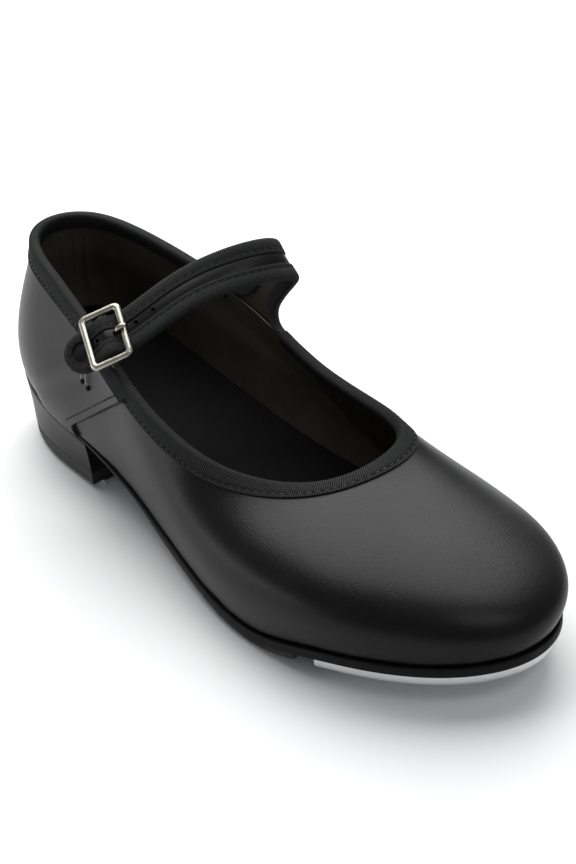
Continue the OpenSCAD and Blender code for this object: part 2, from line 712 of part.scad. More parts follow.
// Bar tack: four threads side by side on the outer quarter, below the tab
TACK = [0.82, 0.66];
module tab_stitches() {
    color(thread_black)
        translate(-origin)
            for (k = [0 : 3])
                let (u = 2.85 + k * 0.05,
                    ends = [for (v = TACK) skin(u, v, [0.65 + rise(seam(SEAM_LATERAL, v) - u, v)])[0]],
                    d = ends[1] - ends[0])
                    translate(ends[0])
                        rotate([0, acos(d.z / norm(d)), atan2(d.y, d.x)])
                            cylinder(r = 0.35, h = norm(d), $fn = 16);
}

vamp();
quarter_lateral();
quarter_medial();
back_stay();
vamp_lining();
quarter_lining();
heel_counter();
toe_puff();
topline_binding();
insole_board();
sock_liner();
steel_shank();
cork_filler();
outsole();
rubber_sole_pad();
heel_block();
heel_top_lift();
heel_tap();
heel_tap_screws();
heel_nails();
toe_tap();
toe_tap_screws();
strap_leather();
strap_lining();
strap_binding();
buckle_frame();
buckle_prong();
buckle_tab();
tab_stitches();
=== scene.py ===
# Looks of the tap shoe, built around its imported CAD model.
import math

import bmesh
import bpy
import numpy as np
from mathutils import Matrix, Vector


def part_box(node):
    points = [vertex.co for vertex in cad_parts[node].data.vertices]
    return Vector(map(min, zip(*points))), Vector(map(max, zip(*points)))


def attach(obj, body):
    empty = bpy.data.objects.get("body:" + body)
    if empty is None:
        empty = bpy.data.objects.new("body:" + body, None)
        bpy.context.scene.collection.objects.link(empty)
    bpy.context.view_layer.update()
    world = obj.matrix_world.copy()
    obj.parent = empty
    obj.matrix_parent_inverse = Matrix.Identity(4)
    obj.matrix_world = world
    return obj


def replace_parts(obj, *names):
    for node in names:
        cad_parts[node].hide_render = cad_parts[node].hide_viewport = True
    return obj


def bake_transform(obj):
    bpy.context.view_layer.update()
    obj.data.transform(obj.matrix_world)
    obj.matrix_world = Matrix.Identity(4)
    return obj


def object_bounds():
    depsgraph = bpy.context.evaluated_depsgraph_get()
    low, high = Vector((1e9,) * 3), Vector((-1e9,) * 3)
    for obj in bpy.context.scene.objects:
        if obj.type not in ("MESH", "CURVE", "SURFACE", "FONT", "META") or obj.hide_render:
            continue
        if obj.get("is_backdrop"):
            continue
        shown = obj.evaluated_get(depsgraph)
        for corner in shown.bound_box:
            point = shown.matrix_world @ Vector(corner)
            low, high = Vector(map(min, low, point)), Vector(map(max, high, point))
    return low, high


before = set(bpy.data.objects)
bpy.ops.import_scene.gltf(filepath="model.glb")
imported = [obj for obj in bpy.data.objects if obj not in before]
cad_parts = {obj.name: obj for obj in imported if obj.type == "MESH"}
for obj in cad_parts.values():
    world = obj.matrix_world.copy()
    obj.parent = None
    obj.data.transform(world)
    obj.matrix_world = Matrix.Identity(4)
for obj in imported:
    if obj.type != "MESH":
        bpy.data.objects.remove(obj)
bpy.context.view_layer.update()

MM = 0.001
rng = np.random.default_rng(7)

# ---------- the design's shape, in millimetres ----------
# Stations round the foot, as control points: feather edge x, y, topline x, y, z, then the
# wall's curve: pull and lean at the feather, pull and slope at the topline
LAST = np.array([
    [-2, 0, 4, 0, 76, 20, 9, 10, 80],
    [5, -23, 14, -16, 75, 19, 11, 9, 82],
    [35, -34, 43, -21, 71, 17, 12, 10, 83],
    [81, -31, 74, -25, 63, 16, 12, 12, 83],
    [121, -35, 107, -32, 54, 16, 12, 14, 78],
    [165, -43, 140, -32, 46, 16, 14, 20, 61],
    [205, -38, 163, -21, 41, 16, 18, 30, 22],
    [236, -22, 177, -7, 41, 20, 20, 38, 6],
    [251, -2, 181, 8, 43, 20, 24, 42, 6],
    [251, 16, 180, 21, 45, 23, 29, 46, 24],
    [238, 31, 172, 29, 46, 24, 27, 41, 50],
    [209, 39, 155, 29, 47, 22, 20, 32, 64],
    [172, 40, 130, 27, 50, 19, 15, 23, 74],
    [132, 33, 103, 30, 56, 17, 12, 18, 82],
    [88, 27, 76, 29, 63, 16, 12, 16, 86],
    [40, 30, 43, 24, 70, 16, 12, 14, 85],
    [5, 22, 13, 17, 75, 18, 10, 12, 84]], float)
STATIONS = len(LAST)
# Height of the feather edge along the foot: x, z
FEATHER = np.array([[-10, 32.4], [0, 31], [50, 23], [90, 18.2], [130, 10.8], [176, 6.2],
                    [210, 12.2], [250, 15.4], [260, 15.7]])
SEAM_LATERAL = (2.5, 1.55)  # quarter's front edge: station at the feather, shift to the topline
SEAM_MEDIAL = (14.5, -1.9)
ROOT = (12.76, 13.84)       # stations of the strap's root
LAP, LAP_TOP = 0.42, 0.9    # the vamp's reach under a quarter, and the height where it ends
LEATHER, LINING, STIFFENER, GAP, FINE = 1.2, 0.7, 0.7, 0.35, 0.1
MARGIN = 8                  # width turned in under the foot
SEAM_ROW = 2.7              # stitch row behind a quarter's front edge
SOLE, WAIST, PAD, TAP = 3.4, 1.6, 2.8, 3.6
HEEL_LENGTH, HEEL_CLEARANCE, LIFT, HEEL_HOLLOW = 69, 1.6, 5, 1.6
PAD_SPAN = (118, 196)
TAP_FROM, TAP_ARC = 204, 60
STRAP_W, STRAP_LEATHER, STRAP_LINING, STRAP_BIND = 15, 1.0, 0.6, 0.4
BUCKLE_AT = np.array([90.6, -28, 68.3])
BUCKLE_ANGLES = (-31, 19, -121.5)
BUCKLE_L, BUCKLE_W, BAR_W, FRAME_T = 15, 21.5, 2.2, 1.8
BAR_DROP, BAR_R = 3.15, 0.75
STRAP_ARCH, STRAP_BELOW, STRAP_END = 2.4, 1.8, 8.85


# ---------- curves ----------
def rotation(angles):
    x, y, z = (math.radians(a) for a in angles)
    turn = Matrix.Rotation(z, 3, "Z") @ Matrix.Rotation(y, 3, "Y") @ Matrix.Rotation(x, 3, "X")
    return np.array(turn)


TURN = rotation(BUCKLE_ANGLES)
EX, EY, EZ = TURN.T


def smooth(x):
    c = np.clip(x, 0, 1)
    return c * c * (3 - 2 * c)


def mix(a, b, t):
    return a + (b - a) * t


def unit(a):
    return a / np.maximum(np.linalg.norm(a, axis=-1, keepdims=True), 1e-9)


def spline(table, t, closed=True):
    """Uniform cubic B-spline whose control points are the rows of a table."""
    t = np.asarray(t, float)
    i = np.floor(t).astype(int)
    f = (t - i)[..., None]
    g = 1 - f

    def row(k):
        return table[k % len(table) if closed else np.clip(k, 0, len(table) - 1)]

    return (g ** 3 * row(i - 1) + (3 * f ** 3 - 6 * f ** 2 + 4) * row(i)
            + (-3 * f ** 3 + 3 * f ** 2 + 3 * f + 1) * row(i + 1) + f ** 3 * row(i + 2)) / 6


def slope(function, t, step=0.01):
    return (function(t + step) - function(t - step)) / (2 * step)


def feather_z(x):
    """Height of the feather edge: a smooth curve through the table."""
    x = np.clip(x, -9, 259)
    X, Z = FEATHER.T
    tangent = np.zeros(len(X))
    tangent[1:-1] = (Z[2:] - Z[:-2]) / (X[2:] - X[:-2])
    i = np.clip(np.searchsorted(X, x, side="right") - 1, 1, len(X) - 3)
    h = X[i + 1] - X[i]
    t = (x - X[i]) / h
    return ((2 * t ** 3 - 3 * t ** 2 + 1) * Z[i] + (t ** 3 - 2 * t ** 2 + t) * h * tangent[i]
            + (3 * t ** 2 - 2 * t ** 3) * Z[i + 1] + (t ** 3 - t ** 2) * h * tangent[i + 1])


# ---------- the wall of the upper ----------
def stack(*parts):
    return np.stack(np.broadcast_arrays(*parts), -1)


def feather_out(u):
    d = slope(lambda t: spline(LAST, t)[..., :2], np.asarray(u, float))
    return unit(stack(d[..., 1], -d[..., 0]))


def feather(u, inset=0.0, z=0.0):
    """Point on the outline of the foot at station u, moved inwards and up."""
    p = spline(LAST, u)[..., :2] - np.asarray(inset)[..., None] * feather_out(u)
    return stack(p[..., 0], p[..., 1], feather_z(p[..., 0]) + z)


def wall(u):
    """The four control points of the wall's curve at station u, from the feather to the topline."""
    s = spline(LAST, u)
    n = feather_out(u)
    lean, drop = np.radians(s[..., 6]), np.radians(s[..., 8])
    low, top = feather(u), s[..., 2:5]

    def tilted(out, up):
        return stack(n[..., 0] * out, n[..., 1] * out, up)

    pull = s[..., 5, None] * tilted(np.sin(lean), np.cos(lean))
    hang = s[..., 7, None] * tilted(np.cos(drop), -np.sin(drop))
    return low, low + pull, top + hang, top


def on_wall(u, v):
    a, b, c, d = wall(u)
    v = np.asarray(v)[..., None]
    g = 1 - v
    return g ** 3 * a + 3 * g * g * v * b + 3 * g * v * v * c + v ** 3 * d


def up_wall(u, v):
    a, b, c, d = wall(u)
    v = np.asarray(v)[..., None]
    g = 1 - v
    return 3 * (g * g * (b - a) + 2 * g * v * (c - b) + v * v * (d - c))


def wall_out(u, v):
    return unit(np.cross(on_wall(u + 0.02, v) - on_wall(u - 0.02, v), up_wall(u, v)))


def skin(u, v, o):
    """Point at station u and height v (0 feather, 1 topline), raised by o."""
    u, v, o = np.broadcast_arrays(*(np.asarray(k, float) for k in (u, v, o)))
    return on_wall(u, v) + o[..., None] * wall_out(u, v)


def drop_v(u, d):
    """Height v that lies d below the topline."""
    return 1 - d / np.linalg.norm(up_wall(u, np.ones_like(u)), axis=-1)


def seam(line, v):
    """Station of a quarter's front edge at height v. It sweeps forward at the feather."""
    return line[0] + line[1] * v + 0.25 * np.sign(line[1]) * (1 - np.clip(v / 0.12, 0, 1)) ** 2


def lap(v):
    """How far the vamp reaches under a quarter at height v, in stations."""
    return LAP * (1 - smooth((v - LAP_TOP + 0.14) / 0.14))


def rise(distance, v):
    """How far the quarter rises where it lies over the vamp."""
    return ((LEATHER + 0.15) * (1 - smooth((distance - LAP - 0.05) / 0.3))
            * (1 - smooth((v - LAP_TOP) / 0.12)))


def lining_o(v):
    """Offset of the lining's outer face, which makes room for the stiffeners low down."""
    return -LEATHER - GAP - (STIFFENER + GAP) * (1 - smooth((v - 0.55) / 0.25))


def along(line):
    """Length from the start to each point of a line."""
    return np.concatenate([[0], np.cumsum(np.linalg.norm(np.diff(line, axis=0), axis=1))])


def ripple(p, wavelength, seed):
    """Smooth waves without a direction, from -1 to 1."""
    waves = np.random.default_rng(seed)
    total = 0
    for _ in range(7):
        k = unit(waves.normal(size=3)) * 2 * math.pi / wavelength * waves.uniform(0.6, 1.5)
        total = total + np.sin(p @ k + waves.uniform(0, 6.3))
    return total / 4


# The design's own zero is at the back of the heel; the frame's is under the middle.
rim = feather(np.linspace(0, STATIONS, 86), -1.0)
ORIGIN = np.array([rim[:, 0].min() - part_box("outsole")[0].x / MM,
                   rim[:, 1].min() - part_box("outsole")[0].y / MM, 0])


def place(p):
    """A point of the design in the frame, in metres."""
    return Vector((np.asarray(p) - ORIGIN) * MM)


# ---------- meshes ----------
SHARP = 38                  # degrees between faces above which an edge is drawn sharp


def build(name, points, faces, materials, body=None, slot=None, uv=None, index=None, sharp=SHARP):
    """A piece from points in millimetres. index gives each face's material."""
    mesh = bpy.data.meshes.new(name)
    placed = (np.asarray(points) - ORIGIN) * MM
    mesh.from_pydata(placed.tolist(), [], [list(map(int, f)) for f in faces])
    if index is not None:
        mesh.polygons.foreach_set("material_index", np.asarray(index, np.int32))
    if uv is not None:
        layer = mesh.uv_layers.new(name="lengths")
        corner = np.zeros(len(mesh.loops), np.int32)
        mesh.loops.foreach_get("vertex_index", corner)
        layer.data.foreach_set("uv", np.asarray(uv, np.float32)[corner].ravel())
    work = bmesh.new()
    work.from_mesh(mesh)
    bmesh.ops.recalc_face_normals(work, faces=work.faces)
    work.to_mesh(mesh)
    work.free()
    mesh.shade_smooth()
    mesh.set_sharp_from_angle(angle=math.radians(sharp))
    piece = bpy.data.objects.new(name, mesh)
    bpy.context.scene.collection.objects.link(piece)
    for m in materials if isinstance(materials, (list, tuple)) else [materials]:
        mesh.materials.append(m)
    if body:
        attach(piece, body)
    return piece


def quads(ids):
    """Faces over a grid of point numbers."""
    a, b, c, d = ids[:-1, :-1], ids[:-1, 1:], ids[1:, 1:], ids[1:, :-1]
    return np.stack([a.ravel(), b.ravel(), c.ravel(), d.ravel()], 1)


def ring_grid(rows, cols, first=0, join=False):
    """Point numbers of closed rings. join also closes the last ring onto the first."""
    ids = np.arange(rows * cols).reshape(rows, cols) + first
    ids = np.concatenate([ids, ids[:, :1]], 1)
    return np.concatenate([ids, ids[:1]]) if join else ids


def circle(count, a, b):
    """Points of a unit circle in the plane of two directions."""
    turn = np.linspace(0, 2 * math.pi, count, endpoint=False)[:, None]
    return np.cos(turn) * a + np.sin(turn) * b


def panel(name, outer, inner, materials, uv=None, **more):
    """The solid between two grids. A second material is for its edges."""
    rows, cols = outer.shape[:2]
    ids = np.arange(rows * cols).reshape(rows, cols)
    other = ids + rows * cols
    edges = [quads(np.stack([ids[k], other[k]])) for k in (0, -1)]
    edges += [quads(np.stack([ids[:, k], other[:, k]])) for k in (0, -1)]
    faces = np.concatenate([quads(ids), quads(other[:, ::-1]), *edges])
    number = None
    if isinstance(materials, (list, tuple)):
        number = np.zeros(len(faces), int)
        number[-sum(len(e) for e in edges):] = 1
    if uv is not None:
        uv = np.concatenate([uv.reshape(-1, 2)] * 2)
    points = np.concatenate([outer.reshape(-1, 3), inner.reshape(-1, 3)])
    return build(name, points, faces, materials, uv=uv, index=number, **more)


def ring_solid(name, rings, materials, **more):
    """A solid from closed rings of points, all with the same count, and two end caps."""
    rings = np.asarray(rings)
    rows, cols = rings.shape[:2]
    wrapped = ring_grid(rows, cols)
    middle = [rings[0].mean(0), rings[-1].mean(0)]
    fans = [[wrapped[r, i], wrapped[r, i + 1], rows * cols + k]
            for k, r in enumerate((0, -1)) for i in range(cols)]
    points = np.concatenate([rings.reshape(-1, 3), middle])
    return build(name, points, [*quads(wrapped), *fans], materials, **more)


def plate(name, u, rings, materials, **more):
    """A flat solid inside the foot's outline: each ring is an inset and a height function."""
    loops = []
    for inset, height in rings:
        p = feather(u, inset(u) if callable(inset) else inset)
        loops.append(stack(p[..., 0], p[..., 1], height(p[..., 0])))
    points = np.array(loops)
    ids = ring_grid(*points.shape[:2])
    half = points.shape[1] // 2 + 1
    faces = [*quads(ids)]
    for r in (0, -1):
        faces += [*quads(np.stack([ids[r, :half], np.roll(ids[r, :-1], -1)[::-1][:half]]))]
    faces = [list(dict.fromkeys(f.tolist())) for f in faces]
    return build(name, points.reshape(-1, 3), [f for f in faces if len(f) > 2], materials, **more)


def cut(piece, cutter):
    """Takes a cutter's volume out of a piece."""
    change = piece.modifiers.new("cut", "BOOLEAN")
    change.operation, change.solver, change.object = "DIFFERENCE", "MANIFOLD", cutter
    view = bpy.context.evaluated_depsgraph_get()
    mesh = bpy.data.meshes.new_from_object(piece.evaluated_get(view))
    piece.modifiers.clear()
    piece.data = mesh
    mesh.set_sharp_from_angle(angle=math.radians(SHARP))
    bpy.data.objects.remove(cutter)


def pins(centres, normals, radius, depth):
    """Upright round cutters through a surface, as one object."""
    sides = 20
    points, faces = [], []
    for p, n in zip(centres, normals, strict=True):
        side = unit(np.cross(n, [0.3, 0.5, 0.8]))
        ring = radius * circle(sides, side, np.cross(n, side))
        k = len(points)
        points += [*(p + ring - n * depth), *(p + ring + n * depth)]
        faces += [[k + i, k + (i + 1) % sides, k + sides + (i + 1) % sides, k + sides + i]
                  for i in range(sides)]
        faces += [list(range(k, k + sides)), list(range(k + sides, k + 2 * sides))]
    return build("cutter", points, faces, [])


# ---------- threads ----------
THREAD_STEPS, THREAD_ROUND = 7, 6
STITCH_LENGTH, STITCH_R = 1.8, 0.2


def thread(line, normal, starts, length, radius, lift, sink):
    """Points and faces of short threads that dive into the surface at both ends."""
    s = along(line)
    q = np.linspace(0, 1, THREAD_STEPS)
    at = np.asarray(starts)[:, None] + q * length
    centre = np.stack([np.interp(at, s, line[:, k]) for k in range(3)], -1)
    n = unit(np.stack([np.interp(at, s, normal[:, k]) for k in range(3)], -1))
    ahead = unit(np.gradient(centre, axis=1))
    side = unit(np.cross(ahead, n))
    centre = centre + n * (lift * np.sin(math.pi * q) ** 0.6 - sink)[None, :, None]
    turn = np.arange(THREAD_ROUND) * 2 * math.pi / THREAD_ROUND
    r = radius * (0.45 + 0.55 * np.sin(math.pi * q) ** 0.5)[None, :, None, None]
    points = (centre[:, :, None] + r * (np.cos(turn)[:, None] * side[:, :, None]
                                        + np.sin(turn)[:, None] * n[:, :, None]))
    ids = ring_grid(THREAD_STEPS, THREAD_ROUND)
    one = [*quads(ids).tolist(), ids[0, :-1].tolist(), ids[-1, :-1].tolist()]
    faces = [[i + k * THREAD_STEPS * THREAD_ROUND for i in f] for k in range(len(starts)) for f in one]
    return points.reshape(-1, 3), faces


def stitch_row(name, line, normal, pitch=2.7, start=1.0, **more):
    """A row of stitches with a dark dot at each end of a stitch: painted shade where the needle holes are.
    """
    starts = np.arange(start, along(line)[-1] - STITCH_LENGTH - 0.3, pitch)
    starts = starts + rng.uniform(-0.06, 0.06, len(starts))
    threads, faces = thread(line, normal, starts, STITCH_LENGTH, STITCH_R, 0.2, 0.12)
    # The needle holes are small near-black bumps, painted shade rather than real holes.
    holes = np.sort(np.concatenate([starts - 0.38, starts + STITCH_LENGTH - 0.12]))
    shade_dots, more_faces = thread(line, normal, holes, 0.5, 0.3, 0.07, 0.0)
    number = [0] * len(faces) + [1] * len(more_faces)
    faces = faces + [[i + len(threads) for i in f] for f in more_faces]
    return build(name, np.concatenate([threads, shade_dots]), faces, [thread_black, needle_hole_painted_shade],
                 slot="thread", index=number, **more)


# ---------- materials ----------
def principled(name, colour, roughness, metallic=0.0, **inputs):
    m = bpy.data.materials.new(name)
    m.use_nodes = True
    shader = m.node_tree.nodes["Principled BSDF"]
    shader.inputs["Base Color"].default_value = (*colour, 1)
    shader.inputs["Roughness"].default_value = roughness
    shader.inputs["Metallic"].default_value = metallic
    for key, value in inputs.items():
        shader.inputs[key.replace("_", " ")].default_value = value
    return m, m.node_tree, shader


def add(tree, kind, inputs=(), **settings):
    n = tree.nodes.new(kind)
    for key, value in settings.items():
        setattr(n, key, value)
    for key, value in dict(inputs).items():
        if isinstance(value, bpy.types.NodeSocket):
            tree.links.new(value, n.inputs[key])
        else:
            n.inputs[key].default_value = value
    return n


def coordinates(tree, stretch=(1, 1, 1), uv=False):
    if uv:
        source = add(tree, "ShaderNodeUVMap", uv_map="lengths").outputs["UV"]
    else:
        source = add(tree, "ShaderNodeTexCoord").outputs["Object"]
    return add(tree, "ShaderNodeMapping", {"Vector": source, "Scale": stretch}).outputs["Vector"]


def noise(tree, where, size, detail):
    """Noise with features of about that size in the units of where."""
    return add(tree, "ShaderNodeTexNoise", {"Vector": where, "Scale": 1 / size, "Detail": detail,
                                            "Roughness": 0.55}).outputs["Fac"]


def math_node(tree, operation, a, b=0.0):
    return add(tree, "ShaderNodeMath", {0: a, 1: b}, operation=operation).outputs[0]


def remap(tree, value, low, high):
    """Spreads the range that noise mostly fills, from a quarter to three quarters."""
    return add(tree, "ShaderNodeMapRange", {"Value": value, "From Min": 0.25, "From Max": 0.75,
                                            "To Min": low, "To Max": high}).outputs["Result"]


def paint(tree, shader, shade, dark, light, gloss, rough):
    """The colour follows shade from dark to light, the roughness follows gloss."""
    colour = add(tree, "ShaderNodeMix", {"Factor": shade, 6: (*dark, 1), 7: (*light, 1)},
                 data_type="RGBA").outputs[2]
    tree.links.new(colour, shader.inputs["Base Color"])
    tree.links.new(remap(tree, gloss, *rough), shader.inputs["Roughness"])


def bump(tree, shader, height, distance, before=None):
    n = add(tree, "ShaderNodeBump", {"Height": height, "Distance": distance, "Strength": 1.0})
    if before:
        tree.links.new(before, n.inputs["Normal"])
    tree.links.new(n.outputs["Normal"], shader.inputs["Normal"])
    return n.outputs["Normal"]


def leather(name, dark, light, rough=(0.3, 0.4), grain=0.00045, depth=0.00003, specular=0.19):
    """Smooth dyed leather: fine pebbles, wider waves, and soft cloudy variation."""
    m, tree, shader = principled(name, dark, rough[0], Specular_IOR_Level=specular)
    where = coordinates(tree)
    cloudy = noise(tree, where, 0.018, 4)
    fine = noise(tree, where, 0.0011, 3)
    blend = math_node(tree, "ADD", math_node(tree, "MULTIPLY", cloudy, 0.5),
                      math_node(tree, "MULTIPLY", fine, 0.5))
    paint(tree, shader, remap(tree, cloudy, 0, 1), dark, light, blend, rough)
    pebbles = add(tree, "ShaderNodeTexVoronoi", {"Vector": where, "Scale": 1 / grain})
    first = bump(tree, shader, pebbles.outputs["Distance"], depth)
    bump(tree, shader, noise(tree, where, 0.0022, 3), depth, first)
    return m


def grosgrain(name, dark, light):
    """Ribbed tape: the ribs are in the mesh, the warp threads across them are here. The colour is a painted
    highlight on each rib's crest and painted shade in its valleys.
    """
    m, tree, shader = principled(name, dark, 0.62, Specular_IOR_Level=0.14)
    where = coordinates(tree, uv=True)
    across = add(tree, "ShaderNodeSeparateXYZ", {"Vector": where}).outputs
    rib = math_node(tree, "SINE", math_node(tree, "MULTIPLY", across[0], math.pi))
    warp = math_node(tree, "SINE", math_node(tree, "MULTIPLY", across[1], 2 * math.pi / 0.28))
    speck = noise(tree, coordinates(tree), 0.0006, 2)
    # Painted highlight on the rib crests and painted shade between them, varied by a random speck.
    crest_highlight = math_node(tree, "POWER", math_node(tree, "ABSOLUTE", rib), 3.0)
    value = math_node(tree, "MULTIPLY", crest_highlight, remap(tree, speck, 0.4, 1.2))
    paint(tree, shader, value, dark, light, speck, (0.5, 0.75))
    bump(tree, shader, math_node(tree, "ADD", warp, math_node(tree, "MULTIPLY", speck, 2.0)), 0.00002)
    return m


def plain(name, dark, light, rough, size, depth, metallic=0.0, stretch=(1, 1, 1), **inputs):
    """Noise-varied colour, roughness and bump for boards, rubber, thread and metals."""
    m, tree, shader = principled(name, dark, rough[0], metallic, **inputs)
    where = coordinates(tree, stretch)
    value = noise(tree, where, size, 5)
    wide = noise(tree, where, size * 14, 3)
    paint(tree, shader, remap(tree, wide, 0, 1), dark, light, value, rough)
    bump(tree, shader, value, depth)
    return m


def grey(value):
    return value, value, value


upper_leather = leather("upper_leather", grey(0.0022), grey(0.0036))
heel_leather = leather("heel_leather", grey(0.003), grey(0.005), (0.34, 0.46))
tab_leather = leather("tab_leather", grey(0.003), grey(0.005), (0.45, 0.6))
raw_edge = plain("raw_edge", (0.004, 0.006, 0.0055), (0.009, 0.013, 0.012), (0.75, 0.95), 0.0004, 0.00005)
lining_leather = leather("lining_leather", (0.022, 0.019, 0.013), (0.036, 0.031, 0.021), (0.5, 0.65),
                         0.0006, specular=0.3)
# A lighter copy of the lining leather: painted light for where the heel's inside is lit.
heel_lining_painted_light = leather("heel_lining_painted_light", (0.040, 0.036, 0.026), (0.075, 0.068, 0.049), (0.45, 0.6),
                      0.0006, specular=0.3)
sock_leather = leather("sock_leather", (0.0028, 0.0028, 0.0029), (0.0045, 0.0045, 0.0047), (0.65, 0.8),
                       0.0005, 0.00002, specular=0.05)
# Dark is the painted shade of the tape's valleys, light the painted highlight of its crests.
ribbed_tape = grosgrain("ribbed_tape", (0.0006, 0.0006, 0.0007), (0.045, 0.046, 0.048))
thread_black = plain("thread_black", grey(0.003), grey(0.006), (0.45, 0.65), 0.0002, 0.00003)
thread_grey = plain("thread_grey", grey(0.25), (0.5, 0.5, 0.48), (0.6, 0.8), 0.0003, 0.00003)
# Near-black matte for the needle holes: painted shade standing in for the dark inside a hole.
needle_hole_painted_shade = plain("needle_hole_painted_shade", grey(0.0015), grey(0.003), (0.85, 1.0), 0.0003, 0.00001)
sole_edge = plain("sole_edge", grey(0.002), grey(0.004), (0.5, 0.7), 0.0009, 0.00006,
                  stretch=(1, 1, 3), Specular_IOR_Level=0.15)
rubber = plain("rubber", grey(0.005), grey(0.009), (0.55, 0.75), 0.0006, 0.00005)
aluminium = plain("aluminium", (0.72, 0.72, 0.73), (0.82, 0.82, 0.82), (0.3, 0.42), 0.0008, 0.00002, 0.9)
steel = plain("steel", (0.42, 0.42, 0.44), (0.55, 0.55, 0.57), (0.25, 0.4), 0.0006, 0.00001, 1.0)
nickel = plain("nickel", (0.34, 0.32, 0.27), (0.44, 0.415, 0.355), (0.24, 0.36), 0.0012, 0.000003, 1.0)
cork = plain("cork", (0.32, 0.19, 0.09), (0.5, 0.33, 0.18), (0.7, 0.9), 0.0012, 0.0002)
fibre_board = plain("fibre_board", (0.36, 0.27, 0.17), (0.46, 0.36, 0.24), (0.7, 0.9), 0.0005, 0.00004)


def finish_node(node, material, bevel=0.0):
    """A CAD node that stays: its material, and softened edges."""
    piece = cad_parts[node]
    piece.data.materials.clear()
    piece.data.materials.append(material)
    piece.data.shade_smooth()
    piece.data.set_sharp_from_angle(angle=math.radians(30))
    if bevel:
        soft = piece.modifiers.new("soft_edges", "BEVEL")
        soft.width, soft.segments, soft.limit_method = bevel, 2, "ANGLE"
        soft.angle_limit = math.radians(35)


for node, material, bevel in (
        ("heel_counter", fibre_board, 0), ("toe_puff", fibre_board, 0), ("insole_board", fibre_board, 0),
        ("steel_shank", steel, 0), ("cork_filler", cork, 0), ("heel_nails", steel, 0),
        ("heel_tap", aluminium, 0.0002), ("heel_tap_screws", steel, 0.0001),
        ("toe_tap_screws", steel, 0.0001)):
    finish_node(node, material, bevel)


# ---------- outer leather ----------
PER_STATION = 14
CORNER = 0.7                # radius at which the leather turns in at the feather
EDGE_ROUND = 0.55           # rounding of a quarter's front edge
WALL_ROWS = np.concatenate([np.linspace(0.03, 0.12, 5), np.linspace(0.15, 1.0, 34)])


def outer_face(u, v, o, thickness):
    """Outer and inner face of a panel from the turned-in margin, round the feather, up the wall.
    u, v and o are grids (rows, columns) for the wall; its first row starts the corner."""
    low = u[0]
    ends = []
    for side, depth in ((0, 0), (1, thickness)):
        lift = o[0] - depth
        z = FINE + side * thickness
        first = skin(low, v[0], o[0] - depth)
        corner = feather(low, -lift, z)
        inside = feather(low, CORNER - lift, z)
        turn = [(1 - t) ** 2 * inside + 2 * t * (1 - t) * corner + t * t * first for t in (0.3, 0.6, 0.85)]
        ends.append(np.stack([feather(low, MARGIN * 0.8 - lift, z), inside, *turn]))
    outer = np.concatenate([ends[0], skin(u, v, o)])
    inner = np.concatenate([ends[1], skin(u, v, o - thickness)])
    return outer, inner


def columns(length, dense_start, dense_end):
    """Shares from 0 to 1, closer together at a free edge."""
    c = np.linspace(0, 1, int(length * PER_STATION))
    close = np.array([0.0006, 0.0016, 0.003, 0.006])
    if dense_start:
        c = np.concatenate([c[:1], close, c[1:]])
    if dense_end:
        c = np.concatenate([c[:-1], 1 - close[::-1], c[-1:]])
    return c


def station_length(u, v):
    return np.linalg.norm(slope(lambda t: on_wall(t, v), u), axis=-1)


def outer_panel(name, node, edge_a, edge_b, free_a, free_b, slot, seed):
    """Leather between two edges, each a station for every height. A free edge lies over the vamp."""
    a, b = edge_a(WALL_ROWS), edge_b(WALL_ROWS)
    c = columns(float(b[-1] - a[-1]), free_a, free_b)
    u = a[:, None] + (b - a)[:, None] * c[None]
    v = np.repeat(WALL_ROWS[:, None], len(c), 1)
    base = on_wall(u, v)
    o = 0.1 * ripple(base, 34, seed) * smooth((0.95 - v) / 0.3)
    o += 0.16 * ripple(base * [1, 1, 0.4], 9, seed + 1) * np.exp(-v / 0.05)
    for free, gap in ((free_a, u - a[:, None]), (free_b, b[:, None] - u)):
        if free:
            o += rise(gap, v)
            away = gap * station_length(u, v)
            near = np.clip(away / EDGE_ROUND, 0, 1)
            o -= EDGE_ROUND * (1 - np.sqrt(1 - (1 - near) ** 2))
            o -= 0.14 * np.exp(-((away - SEAM_ROW) / 0.7) ** 2)
    outer, inner = outer_face(u, v, o, LEATHER)
    piece = panel(name, outer, inner, [upper_leather, raw_edge], body="shoe", slot=slot)
    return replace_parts(piece, node)


outer_panel("vamp_leather", "vamp", lambda v: seam(SEAM_LATERAL, v) - lap(v) + 0.03,
            lambda v: seam(SEAM_MEDIAL, v) + lap(v) - 0.03, False, False, "vamp", 11)
outer_panel("quarter_lateral_leather", "quarter_lateral", lambda v: 0.012 + 0 * v,
            lambda v: seam(SEAM_LATERAL, v), False, True, "quarter_leather", 21)
outer_panel("quarter_medial_leather", "quarter_medial", lambda v: seam(SEAM_MEDIAL, v),
            lambda v: STATIONS - 0.012 + 0 * v, True, False, "quarter_leather", 31)


def seam_row(name, line, sign):
    """Stitches along the quarter's front edge."""
    v = np.linspace(0.1, 0.86, 160)
    edge = seam(line, v)
    run = unit(slope(lambda t: on_wall(seam(line, t), t), v))
    inward = np.cross(wall_out(edge, v), run)
    reach = np.abs((slope(lambda t: on_wall(t, v), edge) * inward).sum(-1))
    gap = SEAM_ROW / reach
    u = edge - sign * gap
    o = rise(gap, v) - 0.1
    stitch_row(name, skin(u, v, o), wall_out(u, v), body="shoe")


seam_row("seam_stitches_lateral", SEAM_LATERAL, 1)
seam_row("seam_stitches_medial", SEAM_MEDIAL, -1)


STAY_ROW = 0.78             # stitch rows of the back stay, as a share of its half width


def stay_half(v):
    """Half the width of the back stay, in stations."""
    return 0.33 * (1 - 0.12 * v)


